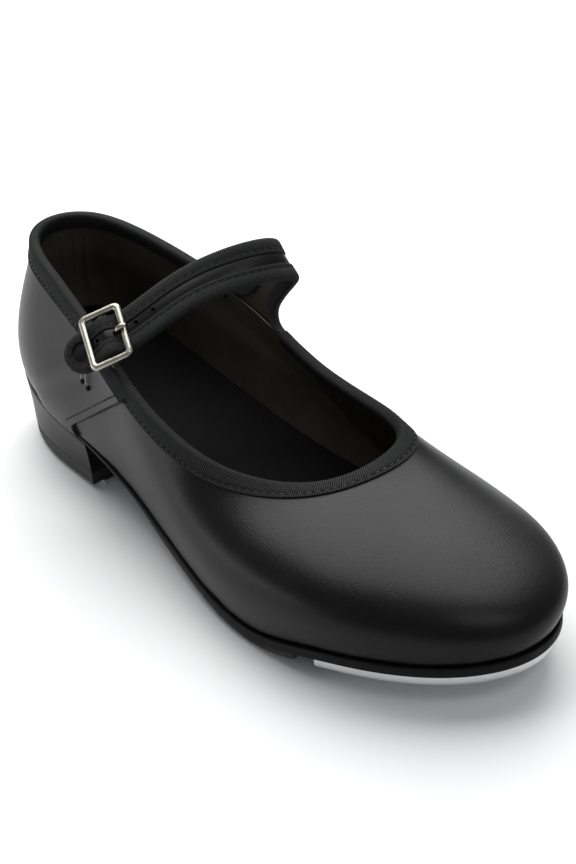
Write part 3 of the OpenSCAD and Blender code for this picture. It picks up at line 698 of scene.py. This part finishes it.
def back_stay():
    v1 = np.linspace(0.035, 0.79, 40)
    c = np.array([-1, -0.985, -0.96, -0.92, *np.linspace(-0.85, 0.85, 15), 0.92, 0.96, 0.985, 1])
    u = STATIONS + stay_half(v1)[:, None] * c[None]
    v = np.repeat(v1[:, None], len(c), 1)
    edge = np.clip((1 - np.abs(c)) / 0.06, 0, 1)
    top = 0.95 - 0.6 * (1 - np.sqrt(1 - (1 - edge) ** 2))
    top -= 0.12 * np.exp(-((np.abs(c) - STAY_ROW) / 0.07) ** 2)
    ends = smooth(np.minimum(v1 - v1[0], v1[-1] - v1) / 0.012)
    outer = skin(u, v, (top[None] - 0.35) * (0.35 + 0.65 * ends[:, None]) + 0.35)
    piece = panel("back_stay_leather", outer, skin(u, v, 0.06), [upper_leather, raw_edge], body="shoe",
                  slot="quarter_leather")
    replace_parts(piece, "back_stay")
    for side, name in ((-1, "left"), (1, "right")):
        v2 = np.linspace(0.07, 0.76, 120)
        u2 = STATIONS + side * STAY_ROW * stay_half(v2)
        stitch_row("back_stay_stitches_" + name, skin(u2, v2, 0.84), wall_out(u2, v2), body="shoe")


back_stay()


# ---------- linings ----------
# Folds round the heel: station, width in stations, height
CREASES = ((16.35, 0.055, 0.8), (16.62, 0.04, 0.55), (16.9, 0.07, 0.9), (17.25, 0.045, 0.6),
           (17.6, 0.06, 0.8), (18.1, 0.05, 0.4), (15.9, 0.06, 0.4))


def heel_creases(u, v):
    """Vertical folds of the lining where it is gathered round the heel."""
    total = 0 * u
    for k, (middle, width, height) in enumerate(CREASES):
        drift = middle + 0.06 * np.sin(5 * v + k)
        window = smooth((v - 0.12) / 0.2) * smooth((0.97 - v) / (0.2 + 0.05 * k))
        total = total + height * window * np.exp(-((u - drift) / width) ** 2)
    return total


def lining(name, node, u0, u1, seed, material):
    v1 = np.linspace(0.02, 1, 34)
    per = 30 if u1 > STATIONS else 12
    u, v = np.meshgrid(np.linspace(u0, u1, int((u1 - u0) * per)), v1)
    o = lining_o(v)
    base = on_wall(u, v)
    inner = o - LINING + 0.12 * ripple(base, 18, seed) * smooth((1 - v) / 0.2) - heel_creases(u, v)
    z = FINE + LEATHER + 0.1
    low = np.stack([feather(u[0], MARGIN - 2 + LEATHER, z), feather(u[0], -lining_o(0) + 0.3, z)])
    outer = np.concatenate([low, skin(u, v, o)])
    face = np.concatenate([low + [0, 0, LINING], skin(u, v, inner)])
    piece = panel(name, outer, face, material, body="shoe", slot="lining")
    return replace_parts(piece, node)


SPLIT = (4.4, 12.2)         # stations where the vamp's lining meets the quarters'
lining("vamp_lining_sheet", "vamp_lining", SPLIT[0] + 0.02, SPLIT[1] - 0.02, 41, lining_leather)
# The quarters' lining uses the lighter copy, painted light on the heel's inside.
lining("quarter_lining_sheet", "quarter_lining", SPLIT[1], SPLIT[0] + STATIONS, 51, heel_lining_painted_light)


# ---------- topline binding ----------
RIB = 0.66                  # distance between the tape's ribs
RIB_H = 0.17                # their height
RIB_STOPS = 4               # points of the mesh to a rib
ROW_DROP = 4.1              # stitch row below the topline


def rib_stops(line):
    """Positions along a line on each rib's flanks, top and valley, rib numbers, and heights there."""
    s = along(line)
    ribs = round(s[-1] / RIB)
    number = np.arange(ribs * RIB_STOPS + 1) / RIB_STOPS
    stops = np.interp(number * s[-1] / ribs, s, np.arange(len(s)))
    return stops, number, RIB_H * np.abs(np.sin(math.pi * number))


def over_quarters(u, v):
    """How far the tape's outer leg is lifted where it lies over the quarters' front ends."""
    front, back = seam(SEAM_LATERAL, v), seam(SEAM_MEDIAL, v)
    lateral = rise(front - u, v) * (u > 1) * (u < front)
    medial = rise(u - back, v) * (u > back) * (u < SEAM_MEDIAL[0])
    return 0.9 * (lateral + medial)


def topline_binding():
    u_fine = np.linspace(ROOT[1] + 0.02, STATIONS + ROOT[0] - 0.02, 1700)
    stops, number, rib = rib_stops(skin(u_fine, 1.0 + 0 * u_fine, 0.3))
    u = np.interp(stops, np.arange(len(u_fine)), u_fine)
    o_in = lining_o(1.0) - LINING
    # distance down the wall, rise above the topline, offset, share of the rib's height
    section = [(5.5, 0, 0.12, 0.2), (5.42, 0, 0.42, 0.7), (5.1, 0, 0.55, 1), (4.6, 0, 0.54, 1),
               (ROW_DROP + 0.25, 0, 0.42, 0.6), (ROW_DROP - 0.25, 0, 0.42, 0.6), (3.6, 0, 0.58, 1),
               (2.6, 0, 0.66, 1), (1.4, 0, 0.72, 1), (0.4, 0, 0.76, 1), (0, 0.35, 0.66, 1),
               (0, 0.8, 0.32, 1), (0, 1.08, -0.35, 1), (0, 1.12, o_in / 2, 1), (0, 1.08, o_in + 0.35, 1),
               (0, 0.8, o_in - 0.28, 1), (0, 0.35, o_in - 0.6, 1), (0.4, 0, o_in - 0.72, 1),
               (1.4, 0, o_in - 0.7, 1), (2.6, 0, o_in - 0.62, 1), (3.7, 0, o_in - 0.52, 1),
               (4.0, 0, o_in - 0.3, 0.4)]
    across = np.cumsum([0] + [math.dist(a[:3], b[:3]) for a, b in zip(section, section[1:])])
    outer, inner = [], []
    upwards = unit(up_wall(u, np.ones_like(u)))
    for d, up, o, share in section:
        v = drop_v(u, d)
        lift = rib * share
        from_middle = o - o_in / 2
        outward = np.sign(from_middle) if abs(from_middle) > 0.3 else 0
        o = o + (over_quarters(u % STATIONS, v) if o > 0 else 0)
        top = up + (lift if up > 0.5 else 0)
        outer.append(skin(u, v, o + outward * lift) + upwards * np.reshape(top, (-1, 1)))
        under = np.clip(o, o_in - 0.15, 0.15)
        inner.append(skin(u, v, under) + upwards * min(up, 0.25))
    uv = stack(number[None, :], across[:, None])
    piece = panel("topline_tape", np.array(outer), np.array(inner), ribbed_tape, uv, body="shoe",
                  slot="binding")
    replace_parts(piece, "topline_binding")
    v = drop_v(u_fine, ROW_DROP)
    stitch_row("topline_stitches", skin(u_fine, v, 0.5), wall_out(u_fine, v), pitch=2.75, body="shoe")


topline_binding()


# ---------- under the foot ----------
ROUND_U = np.arange(0, STATIONS, 1 / 12)
Z_BOARD = FINE + LEATHER + 0.1 + LINING + 0.1
INSIDE = LEATHER + STIFFENER + LINING + 2 * GAP + 1.3


def sole_thickness(x):
    return mix(WAIST, SOLE, smooth((x - 98) / 34))


def sock_liner():
    z = Z_BOARD + 1.8 + 0.1

    def dish(up):
        return lambda x: feather_z(x) + z + up

    rings = [(INSIDE + 22, dish(0.75)), (INSIDE + 16, dish(0.75)), (INSIDE + 11, dish(0.8)),
             (INSIDE + 7, dish(0.95)), (INSIDE + 4, dish(1.25)), (INSIDE + 2, dish(1.65)),
             (INSIDE + 0.7, dish(2.0)), (INSIDE - 0.1, dish(2.05)), (INSIDE - 0.35, dish(1.75)),
             (INSIDE - 0.2, dish(0.6)), (INSIDE + 0.4, dish(0)), (INSIDE + 4, dish(0))]
    piece = plate("sock_liner_sheet", ROUND_U, rings, sock_leather, body="shoe", slot="sock")
    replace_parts(piece, "sock_liner")


def outsole():
    def top(drop):
        return lambda x: feather_z(x) - FINE - drop

    def low(up):
        return lambda x: feather_z(x) - sole_thickness(x) + up

    def inset(d):
        """The sole's edge stands out at the forefoot and is flush with the heel's cover."""
        return lambda u: d + 1.0 * (1 - smooth((feather(u)[:, 0] - 62) / 30))

    rings = [(6, top(0)), (1.5, top(0)), (inset(-0.5), top(0)), (inset(-0.85), top(0.08)),
             (inset(-1.05), top(0.35)), (inset(-1.05), low(0.4)), (inset(-0.9), low(0.12)),
             (inset(-0.6), low(0)), (3, low(0)), (8, low(0))]
    piece = plate("outsole_leather", ROUND_U, rings, sole_edge, body="shoe", slot="sole_leather")
    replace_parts(piece, "outsole")


def station_at(x, lateral):
    """Station where the outline crosses x, on one side of the foot."""
    u = np.linspace(0.2, 8.2, 400) if lateral else np.linspace(16.8, 9.2, 400)
    return np.interp(x, spline(LAST, u)[:, 0], u)


def sole_pad():
    back, front = PAD_SPAN
    rings = []
    for x in (back, *np.linspace(back + 0.4, front - 0.5, 26), front):
        depth = mix(0.5, PAD, smooth((x - back) / 24))
        end = 0.35 if x in PAD_SPAN else 0
        z_top = feather_z(x) - sole_thickness(x) - FINE
        z_low = max(0.0, z_top + FINE - depth) + end
        sides = [feather(np.array(station_at(x, side)), 0.1 + end)[:2] for side in (True, False)]
        corner = ((0, z_low + 0.35), (0.006, z_low + 0.1), (0.015, z_low))
        ring = ((0, z_top), (0.5, z_top), (1, z_top), *((1 - t, z) for t, z in corner),
                (0.5, z_low), *corner[::-1])
        rings.append([[x, mix(sides[0][1], sides[1][1], t), z] for t, z in ring])
    piece = ring_solid("sole_pad_rubber", rings, rubber, body="shoe", slot="rubber")
    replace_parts(piece, "rubber_sole_pad")


TOE_SCREWS = ((216, -21), (216, 23), (240, 5))
SCREW_R, SUNK_R = 1.45, 2.85


def toe_tap():
    """Cast toe plate with a curved back edge and countersunk screw holes."""
    arc_x = TAP_FROM - 50
    u = np.linspace(station_at(TAP_FROM, True), station_at(TAP_FROM, False), 110)
    rings = []
    levels = ((0.1, -2 * FINE), (-0.1, -0.3), (-0.1, -2.2), (0.1, -3.1), (0.5, -3.5), (1.3, -TAP))
    for inset, z in levels:
        p = feather(u, inset)[:, :2]
        y = np.linspace(p[-1, 1], p[0, 1], 40)[1:-1]
        back_inset = max(0.0, inset - 0.1)
        arc = arc_x + np.sqrt(TAP_ARC ** 2 - np.minimum(y ** 2, TAP_ARC ** 2))
        p = np.concatenate([p, np.stack([np.maximum(arc, TAP_FROM) + back_inset, y], 1)])
        rings.append(stack(p[:, 0], p[:, 1], feather_z(p[:, 0]) - SOLE + z))
    piece = ring_solid("toe_tap_casting", rings, aluminium, slot="tap_metal")
    centres, normals = [], []
    for x, y in TOE_SCREWS:
        lean = math.atan2(feather_z(x + 4) - feather_z(x - 4), 8)
        centres.append(np.array([x, y, feather_z(x) - SOLE - TAP]))
        normals.append(np.array([-math.sin(lean), 0, math.cos(lean)]))
    cut(piece, pins(centres, normals, SUNK_R, 1.0))
    cut(piece, pins(centres, normals, SCREW_R, 8))
    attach(piece, "shoe")
    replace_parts(piece, "toe_tap")


sock_liner()
outsole()
sole_pad()
toe_tap()


# ---------- heel ----------
def heel_ring(inset, height):
    """The heel's outline: round the back, and a slightly hollow front face."""
    front = HEEL_LENGTH - max(0.0, inset - 0.2)
    a = station_at(front, True)
    b = station_at(front, False)
    p = feather(np.linspace(b - STATIONS, a, 90), inset)[:, :2]
    t = np.linspace(0, 1, 22)[1:-1]
    breast = np.stack([front - HEEL_HOLLOW * np.sin(math.pi * t), mix(p[-1, 1], p[0, 1], t)], 1)
    p = np.concatenate([p, breast])
    return stack(p[:, 0], p[:, 1], height(p[:, 0]))


def heel_block():
    low = HEEL_CLEARANCE + LIFT + FINE

    def at(share, shift=0.0):
        return lambda x: mix(feather_z(x) - WAIST - FINE, low, share) + shift

    rings = [heel_ring(0.6, at(0)), heel_ring(0.0, at(0, -0.1)), heel_ring(-0.2, at(0, -0.5))]
    rings += [heel_ring(mix(-0.2, 0.45, t) + 0.25 * math.sin(math.pi * t), at(t))
              for t in (0.15, 0.35, 0.6, 0.85)]
    rings += [heel_ring(0.45, at(1, 0.3)), heel_ring(0.62, at(1, 0.06)), heel_ring(1.0, at(1))]
    piece = ring_solid("heel_cover", rings, heel_leather, body="shoe", slot="heel_leather")
    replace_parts(piece, "heel_block")


def heel_lift():
    low, high = HEEL_CLEARANCE + FINE, HEEL_CLEARANCE + LIFT

    def flat(z):
        return lambda x: z + 0 * x

    levels = ((1.1, high), (0.66, high - 0.05), (0.5, high - 0.3), (0.5, low + 0.5), (0.62, low + 0.12),
              (1.1, low))
    rings = [heel_ring(inset, flat(z)) for inset, z in levels]
    piece = ring_solid("heel_lift_rubber", rings, rubber, body="shoe", slot="rubber")
    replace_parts(piece, "heel_top_lift")


heel_block()
heel_lift()


# ---------- strap ----------
UNDER = BUCKLE_AT - STRAP_BELOW * EZ
STRAP = np.array([[89, 28, 44], [94, 29, 58], [101, 34.5, 72], [109, 37, 80], [110, 22, 84.5],
                  [102, -1, 82.2], UNDER - 9 * EX, UNDER, UNDER + 8 * EX, [82.8, -41, 59.4], [80, -46, 52]])
STRAP_PITCH = np.array([-15, -17, -30, -48, -50, -21, -20, -20, -20, -20, -20], float)[:, None]
FILLET, FILLET_DEPTH, ROOT_BLEND = 9, 7.5, 16
BIND_CLEAR = 0.1
HALF = STRAP_W / 2 - STRAP_BIND - BIND_CLEAR
TIP_R = HALF
LINING_TOP = -STRAP_LEATHER - 0.1
PUNCH_R, PUNCH_PITCH, PUNCH_STEPS = 0.85, 7, (-2, -1, 1)

strap_ts = np.linspace(1, STRAP_END, 500)
strap_ss = along(spline(STRAP, strap_ts, False))
strap_length = strap_ss[-1]
s_buckle = float(np.interp(7, strap_ts, strap_ss))


def strap_half(s):
    """Half the strap's width, which flares at the root."""
    k = np.clip(1 - s / FILLET, 0, 1)
    return HALF + FILLET_DEPTH * (1 - np.sqrt(1 - k * k * 0.98))


def strap_frame(s):
    """The strap's centre line at length s: point, direction, side and normal."""
    t = np.interp(s, strap_ss, strap_ts)
    p = spline(STRAP, t, False)
    d = unit(slope(lambda k: spline(STRAP, k, False), t))
    a = np.radians(spline(STRAP_PITCH, t, False)[..., 0])
    w0 = stack(np.cos(a), 0 * a, np.sin(a))
    w = unit(w0 - (w0 * d).sum(-1, keepdims=True) * d)
    return p, d, w, np.cross(d, w)


root_p, _, root_w, _ = strap_frame(0.0)
ROOT_HALF = float(strap_half(0.0))


def root_gap(w):
    """From the strap's straight end to the topline, at distance w across it."""
    u = mix(ROOT[1], ROOT[0], np.clip((w + ROOT_HALF) / (2 * ROOT_HALF), -0.05, 1.05))
    return spline(LAST, u)[..., 2:5] - (root_p + w[..., None] * root_w)


def strap_point(s, w, o):
    """Point at length s and distance w across the strap, raised by o from its outer face."""
    s, w, o = np.broadcast_arrays(*(np.asarray(k, float) for k in (s, w, o)))
    p, _, side, n = strap_frame(s)
    arch = STRAP_ARCH * np.cos(math.pi / 2 * np.clip((s - s_buckle) / 6.2, -1, 1)) ** 2
    blend = np.clip(1 - s / ROOT_BLEND, 0, 1)[..., None]
    return (p + w[..., None] * side + (o + arch)[..., None] * n + root_gap(w) * blend ** 2
            + blend * [0, 0, 0.35])


def half_at(s):
    """Half the strap's width with its round tip."""
    from_tip = strap_length - s
    tip = np.sqrt(np.maximum(0.04, TIP_R ** 2 - np.maximum(0, TIP_R - from_tip) ** 2))
    return np.where(from_tip >= TIP_R, strap_half(s), tip)


body_s = np.concatenate([np.linspace(0, 11, 16), np.linspace(11.7, s_buckle - 9, 70),
                         np.linspace(s_buckle - 8.5, strap_length - TIP_R, 50)])
tip_s = strap_length - TIP_R * (1 - np.sin(np.radians(np.arange(8, 91, 8.2))))
all_s = np.concatenate([body_s, tip_s])


def strap_piece(piece, node=None):
    """Bakes a strap piece's placement into its mesh and hides the CAD node it replaces, if one is given."""
    start = place(root_p)
    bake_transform(piece)
    if node:
        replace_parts(piece, node)


def strap_crown(w):
    """The leather's rise in the strap's middle, and a groove on each side of it."""
    groove = 0.054 * np.exp(-((np.abs(w) - 2.3) / 0.5) ** 2)
    return 0.25 * np.clip(1 - (w / 2.6) ** 2, 0, 1) - groove


def strap_sheet(name, node, o_top, thickness, crown, materials, slot):
    k = np.linspace(-1, 1, 23)
    w = half_at(all_s)[None, :] * k[:, None]
    s = np.repeat(all_s[None], len(k), 0)
    outer, inner = strap_point(s, w, o_top + crown(w)), strap_point(s, w, o_top - thickness)
    piece = panel(name, outer, inner, materials, slot=slot)
    cut(piece, pins(*hole_places(), PUNCH_R, 5))
    strap_piece(piece, node)


def hole_places():
    """Centres and normals of the punched holes, the prong's own slot last."""
    s = np.array([s_buckle - 3.7 + k * PUNCH_PITCH for k in PUNCH_STEPS] + [s_buckle - 4.3, s_buckle - 3.3])
    s = s[s < strap_length - 1.5]
    return strap_point(s, 0.0, 0.0), strap_frame(s)[3]


def hole_rims():
    """Raised rims round the punched holes."""
    around, tube = 24, 8
    points, faces = [], []
    for p, n in list(zip(*hole_places(), strict=True))[:len(PUNCH_STEPS)]:
        side = unit(np.cross(n, EX))
        out = circle(around, side, np.cross(n, side))
        line = p + 0.98 * out + n * 0.22
        ring = [at + 0.2 * circle(tube, away, 0.7 * n) for at, away in zip(line, out, strict=True)]
        faces += quads(ring_grid(around, tube, len(points), True)).tolist()
        points += [*np.concatenate(ring)]
    strap_piece(build("strap_hole_rims", points, faces, upper_leather, slot="vamp"))


def strap_edge():
    """The strap's edge from the front of the root round the tip: length, across, outward there."""
    turn = np.radians(np.arange(6, 175, 6))
    tip = np.stack([strap_length - TIP_R * (1 - np.sin(turn)), TIP_R * np.cos(turn),
                    np.sin(turn), np.cos(turn)], 1)
    s = np.concatenate([np.linspace(0, 10, 40), np.linspace(10.2, strap_length - TIP_R, 260)])
    front = np.stack([s, strap_half(s), 0 * s, 1 + 0 * s], 1)
    back = front[::-1] * [1, -1, 1, -1]
    return np.concatenate([front, tip, back])


def in_from_edge(edge, d, o):
    """Points at distance d inside the strap's edge, raised by o."""
    return strap_point(edge[:, 0] - d * edge[:, 2], edge[:, 1] - d * edge[:, 3], o)


def tape_share(s):
    """The tape narrows before the strap's tip: its share of the full width at length s."""
    return 1 - 0.42 * smooth((s - strap_length + 12) / 7)


def strap_binding():
    edge = strap_edge()
    stops, number, rib = rib_stops(strap_point(edge[:, 0], edge[:, 1], 0.2))
    e = np.stack([np.interp(stops, np.arange(len(edge)), edge[:, k]) for k in range(4)], 1)
    o_in = LINING_TOP - STRAP_LINING
    t = BIND_CLEAR + STRAP_BIND
    # inset from the edge, offset, share of the rib's height, direction of the ribs
    section = [(5.0, 0.12, 0.2, 1), (4.93, t - 0.08, 0.7, 1), (4.6, t + 0.05, 1, 1), (4.0, t + 0.05, 1, 1),
               (3.75, t - 0.08, 0.5, 1), (3.3, t - 0.08, 0.5, 1), (3.0, t + 0.08, 1, 1),
               (1.8, t + 0.14, 1, 1),
               (0.7, t + 0.1, 1, 1), (0.0, t - 0.1, 1, 1), (-0.35, 0.1, 1, 0), (-0.5, -0.4, 1, 0),
               (-0.5, o_in + 0.4, 1, 0), (-0.35, o_in - 0.1, 1, 0), (0.0, o_in - t + 0.1, 1, -1),
               (0.7, o_in - t - 0.05, 1, -1), (2.5, o_in - t - 0.05, 1, -1), (4.2, o_in - t, 1, -1),
               (4.8, o_in - 0.12, 0.2, -1)]
    across = np.cumsum([0] + [math.dist(a[:2], b[:2]) for a, b in zip(section, section[1:])])
    outer, inner = [], []
    for depth, o, share, way in section:
        lift = rib * share
        inset = depth * (tape_share(e[:, 0]) if depth > 1 else 1)
        outer.append(in_from_edge(e, inset - (lift if way == 0 else 0), o + way * lift))
        inner.append(in_from_edge(e, np.maximum(inset, -0.1), np.clip(o, o_in - 0.06, 0.06)))
    uv = stack(number[None, :], across[:, None])
    piece = panel("strap_tape", np.array(outer), np.array(inner), ribbed_tape, uv, slot="binding")
    strap_piece(piece, "strap_binding")
    inset = 3.5 * tape_share(edge[:, 0])
    normal = strap_frame(edge[:, 0] - inset * edge[:, 2])[3]
    line = in_from_edge(edge, inset, t - 0.02)
    strap_piece(stitch_row("strap_stitches", line, normal, pitch=2.75, start=2.0))


strap_sheet("strap_leather_sheet", "strap_leather", 0, STRAP_LEATHER, strap_crown,
            [upper_leather, raw_edge], "vamp")
strap_sheet("strap_lining_sheet", "strap_lining", LINING_TOP, STRAP_LINING, lambda w: 0,
            lining_leather, "lining")
hole_rims()
strap_binding()


# ---------- buckle ----------
def in_buckle(p):
    """From the buckle's own axes to the design's."""
    return BUCKLE_AT + np.asarray(p) @ TURN.T


def rounded_ring(length, width, radius, z):
    """Rounded rectangle as a ring of points."""
    turn = np.linspace(0, math.pi / 2, 9)
    points = []
    for k, (sx, sy) in enumerate(((1, 1), (-1, 1), (-1, -1), (1, -1))):
        a = turn + k * math.pi / 2
        cx, cy = sx * (length / 2 - radius), sy * (width / 2 - radius)
        points += [[cx + radius * math.cos(t), cy + radius * math.sin(t), z] for t in a]
    return np.array(points)


def bar_ring(radius, y, count):
    """Ring round the centre bar, at y along it."""
    turn = np.linspace(0, 2 * math.pi, count, endpoint=False)
    return stack(radius * np.cos(turn), 0 * turn + y, radius * np.sin(turn) - BAR_DROP)


def metal_rod(name, rings, body):
    """A buckle piece from rings and two end caps."""
    ring_solid(name, [in_buckle(r) for r in rings], nickel, body=body, slot="buckle_metal")


def metal_loop(name, rings, body, sharp=SHARP):
    """A buckle piece from rings, the last joined to the first."""
    rings = np.array(rings)
    return build(name, in_buckle(rings.reshape(-1, 3)), quads(ring_grid(*rings.shape[:2], join=True)),
                 nickel, body=body, slot="buckle_metal", sharp=sharp)


def buckle_frame():
    """Bevelled frame, its two lugs and the centre bar."""
    t = FRAME_T / 2
    # how far in from the outside, and height
    profile = ((0.0, -0.5 * t), (0.0, 0.15 * t), (0.12, 0.4 * t), (0.62, 0.93 * t), (0.8, t), (1.35, t),
               (1.55, 0.93 * t), (2.08, 0.4 * t), (BAR_W, 0.15 * t), (BAR_W, -0.6 * t), (2.0, -0.95 * t),
               (1.8, -t), (0.4, -t), (0.12, -0.85 * t))
    rings = [rounded_ring(BUCKLE_L - 2 * a, BUCKLE_W - 2 * a, mix(2.4, 1.0, a / BAR_W), z)
             for a, z in profile]
    piece = metal_loop("buckle_frame_cast", rings, "buckle", 50)
    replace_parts(piece, "buckle_frame")
    y_end = BUCKLE_W / 2 - BAR_W / 2
    lug = ((0.0, -t + 0.2), (0.0, -BAR_DROP + 0.2), (0.2, -BAR_DROP - 0.7), (0.9, -BAR_DROP - 1))
    for side, word in ((-1, "inner"), (1, "outer")):
        metal_rod("buckle_lug_" + word, [rounded_ring(2.4 - k, 1.7 - k, 0.3, z) + [0, side * y_end, 0]
                                         for k, z in lug], "buckle")
    metal_rod("buckle_centre_bar", [bar_ring(BAR_R, y, 20) for y in np.linspace(-y_end, y_end, 12)],
              "buckle")


# The prong's bent wire in the buckle's axes, as control points: x, z
PRONG = np.array([[-1.1, -3.15], [-2.6, -3.1], [-3.7, -0.9], [-4.2, 0.9], [-5.2, 1.75], [-6.6, 1.95],
                  [-7.4, 1.75], [-7.9, 1.2]])


def prong():
    """The tongue: a loop on the centre bar and a flattened wire with a hooked tip."""
    k = np.linspace(0.6, len(PRONG) - 1, 44)
    line = spline(PRONG, k, False)
    d = unit(np.gradient(line, axis=0))
    share = np.linspace(0, 1, len(k))
    wide = 0.95 - 0.12 * smooth((share - 0.35) / 0.5)
    tip = np.sqrt(np.clip((1 - share) / 0.07, 0.02, 1))
    rings = []
    for p, along_it, w, f in zip(line, d, wide, tip, strict=True):
        n = np.array([-along_it[1], 0, along_it[0]])
        rings.append([p[0], 0, p[1]] + f * circle(16, w * np.array([0, 1, 0]), 0.6 * n))
    metal_rod("prong_tongue", rings, "prong")
    half = [(1.35, 1.1), (1.25, 1.22), (0.95, 1.22), (0.84, 1.1)]
    section = [(1.35, -1.1), *half, *((r, -y) for r, y in half[:0:-1])]
    piece = metal_loop("prong_loop", [bar_ring(r, y, 28) for r, y in section], "prong")
    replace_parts(piece, "buckle_prong")


TAB_BASE = 3.2              # station of the tab's middle
TAB_EAR = (1.7, 6)          # from the buckle's middle to an ear's two edges
TAB_WRAP, TAB_HALF = 1.9, 0.45


def buckle_tab():
    """Leather tab from inside the topline over the edge and round the centre bar."""
    o_tab = lining_o(1.0) - LINING - 1.1
    near, far = TAB_EAR
    for word, y0, y1 in (("front", near, far), ("back", -far, -near)):
        y = np.linspace(y0, y1, 9)
        u = TAB_BASE + y / 32
        inside = [skin(u, drop_v(u, d), o_tab) for d in (11, 8, 5, 2.5, 0.6)]
        bar = BUCKLE_AT - BAR_DROP * EZ + y[:, None] * EY
        top = inside[-1] + [0, 0, 2.2]
        low = bar - TAB_WRAP * EZ
        rows = inside + [(1 - t) ** 2 * inside[-1] + 2 * t * (1 - t) * top + t * t * low
                         for t in (0.25, 0.5, 0.75, 1)]
        rows += [bar + TAB_WRAP * (math.sin(a) * EX - math.cos(a) * EZ)
                 for a in np.radians((40, 90, 140, 180, 220, 270, 320))]
        rows = np.array(rows)
        n = TAB_HALF * unit(np.cross(np.gradient(rows, axis=0), EY))
        piece = panel("buckle_tab_" + word, rows + n, rows - n, tab_leather, body="shoe", slot="vamp")
        if word == "front":
            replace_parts(piece, "buckle_tab")


TACK = (0.82, 0.66)         # heights on the wall between which the tab's thread runs


def loose_thread(name, line, normal, material, radius, lift, sink):
    points, faces = thread(line, normal, [0.0], along(line)[-1], radius, lift, sink)
    return build(name, points, faces, material, body="shoe", slot="thread")


def thread_ends():
    """Two pale cut ends that hang below the strap's tip, each with a black knot."""
    for k, (u, lean) in enumerate(((2.96, -0.03), (3.02, 0.02))):
        v = np.linspace(0.71, 0.565, 9)
        o = rise(seam(SEAM_LATERAL, v) - u, v) + 0.45 + 0.25 * np.sin(np.linspace(0, 3, 9))
        line = skin(u + lean * np.linspace(0, 1, 9), v, o)
        loose_thread(f"thread_end_{k}", line, wall_out(u + 0 * v, v), thread_grey, 0.22, 0.2, 0.1)
        short = line[-1] + unit(line[-1] - line[-3]) * np.linspace(-0.6, 1.2, 5)[:, None]
        out = wall_out(np.full(5, u), np.full(5, 0.56))
        loose_thread(f"thread_knot_{k}", short, out, thread_black, 0.6, 0.1, 0.0)


def bar_tack():
    """Thread that holds the tab."""
    for k in range(4):
        u = 2.85 + k * 0.05
        v = np.linspace(TACK[0], TACK[1], 12)
        o = 0.42 + rise(seam(SEAM_LATERAL, v) - u, v)
        piece = loose_thread(f"bar_tack_{k}", skin(u, v, o), wall_out(u + 0 * v, v), thread_black,
                             0.33, 0.35, 0.3)
        if k == 0:
            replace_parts(piece, "tab_stitches")


buckle_frame()
prong()
buckle_tab()
bar_tack()
thread_ends()


# ---------- camera, light and floor ----------
# The camera: angles round the shoe, and metres from the middle of the shoe and beside it
AZIMUTH, ELEVATION, ROLL = (math.radians(a) for a in (56.5, 31.3, 6.2))
DISTANCE, LENS, ASIDE, ABOVE = 0.514, 64.6, 0.0132, 0.0067


def make_camera():
    a, e = AZIMUTH, ELEVATION
    back = Vector((math.sin(a) * math.cos(e), -math.cos(a) * math.cos(e), math.sin(e)))
    right = Vector((math.cos(a), math.sin(a), 0))
    up = back.cross(right)
    middle = place((125, 0, 25))
    camera = bpy.data.objects.new("camera", bpy.data.cameras.new("camera"))
    bpy.context.scene.collection.objects.link(camera)
    camera.data.lens = LENS
    camera.data.clip_start = 0.01
    turned_right = right * math.cos(ROLL) - up * math.sin(ROLL)
    turned_up = right * math.sin(ROLL) + up * math.cos(ROLL)
    at = middle + right * ASIDE + up * ABOVE + back * DISTANCE
    turned = Matrix((turned_right, turned_up, back)).transposed().to_4x4()
    camera.matrix_world = Matrix.Translation(at) @ turned
    bpy.context.scene.camera = camera


def area_light(name, at, aim, size, power):
    data = bpy.data.lights.new(name, "AREA")
    data.shape, data.size, data.size_y, data.energy = "RECTANGLE", *size, power
    light = bpy.data.objects.new(name, data)
    bpy.context.scene.collection.objects.link(light)
    light.location = at
    light.rotation_mode = "QUATERNION"
    light.rotation_quaternion = (Vector(at) - Vector(aim)).to_track_quat("Z", "Y")


def studio():
    low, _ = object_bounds()
    bpy.ops.mesh.primitive_plane_add(size=8, location=(0, 0, low.z))
    floor = bpy.context.object
    floor.name = "floor"
    white, tree, shader = principled("floor_white", grey(0.86), 0.6)
    grain = noise(tree, coordinates(tree), 0.02, 2)
    tree.links.new(remap(tree, grain, 0.58, 0.62), shader.inputs["Roughness"])
    floor.data.materials.append(white)
    floor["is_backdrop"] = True
    world = bpy.data.worlds.new("studio")
    bpy.context.scene.world = world
    world.use_nodes = True
    world.node_tree.nodes["Background"].inputs["Color"].default_value = (0.9, 0.92, 0.95, 1)
    world.node_tree.nodes["Background"].inputs["Strength"].default_value = 0.3
    area_light("overhead", (-0.5, 0.33, 0.8), (-0.1, 0.05, 0), (1.2, 1.2), 19)
    area_light("left", (-0.62, -0.82, 0.1), (0, 0, 0.02), (0.9, 0.18), 1.5)
    area_light("front", (0.75, 0.1, 1.1), (0, 0, 0.03), (0.5, 0.5), 2.0)
    bpy.context.scene.view_settings.view_transform = "Standard"


make_camera()
studio()
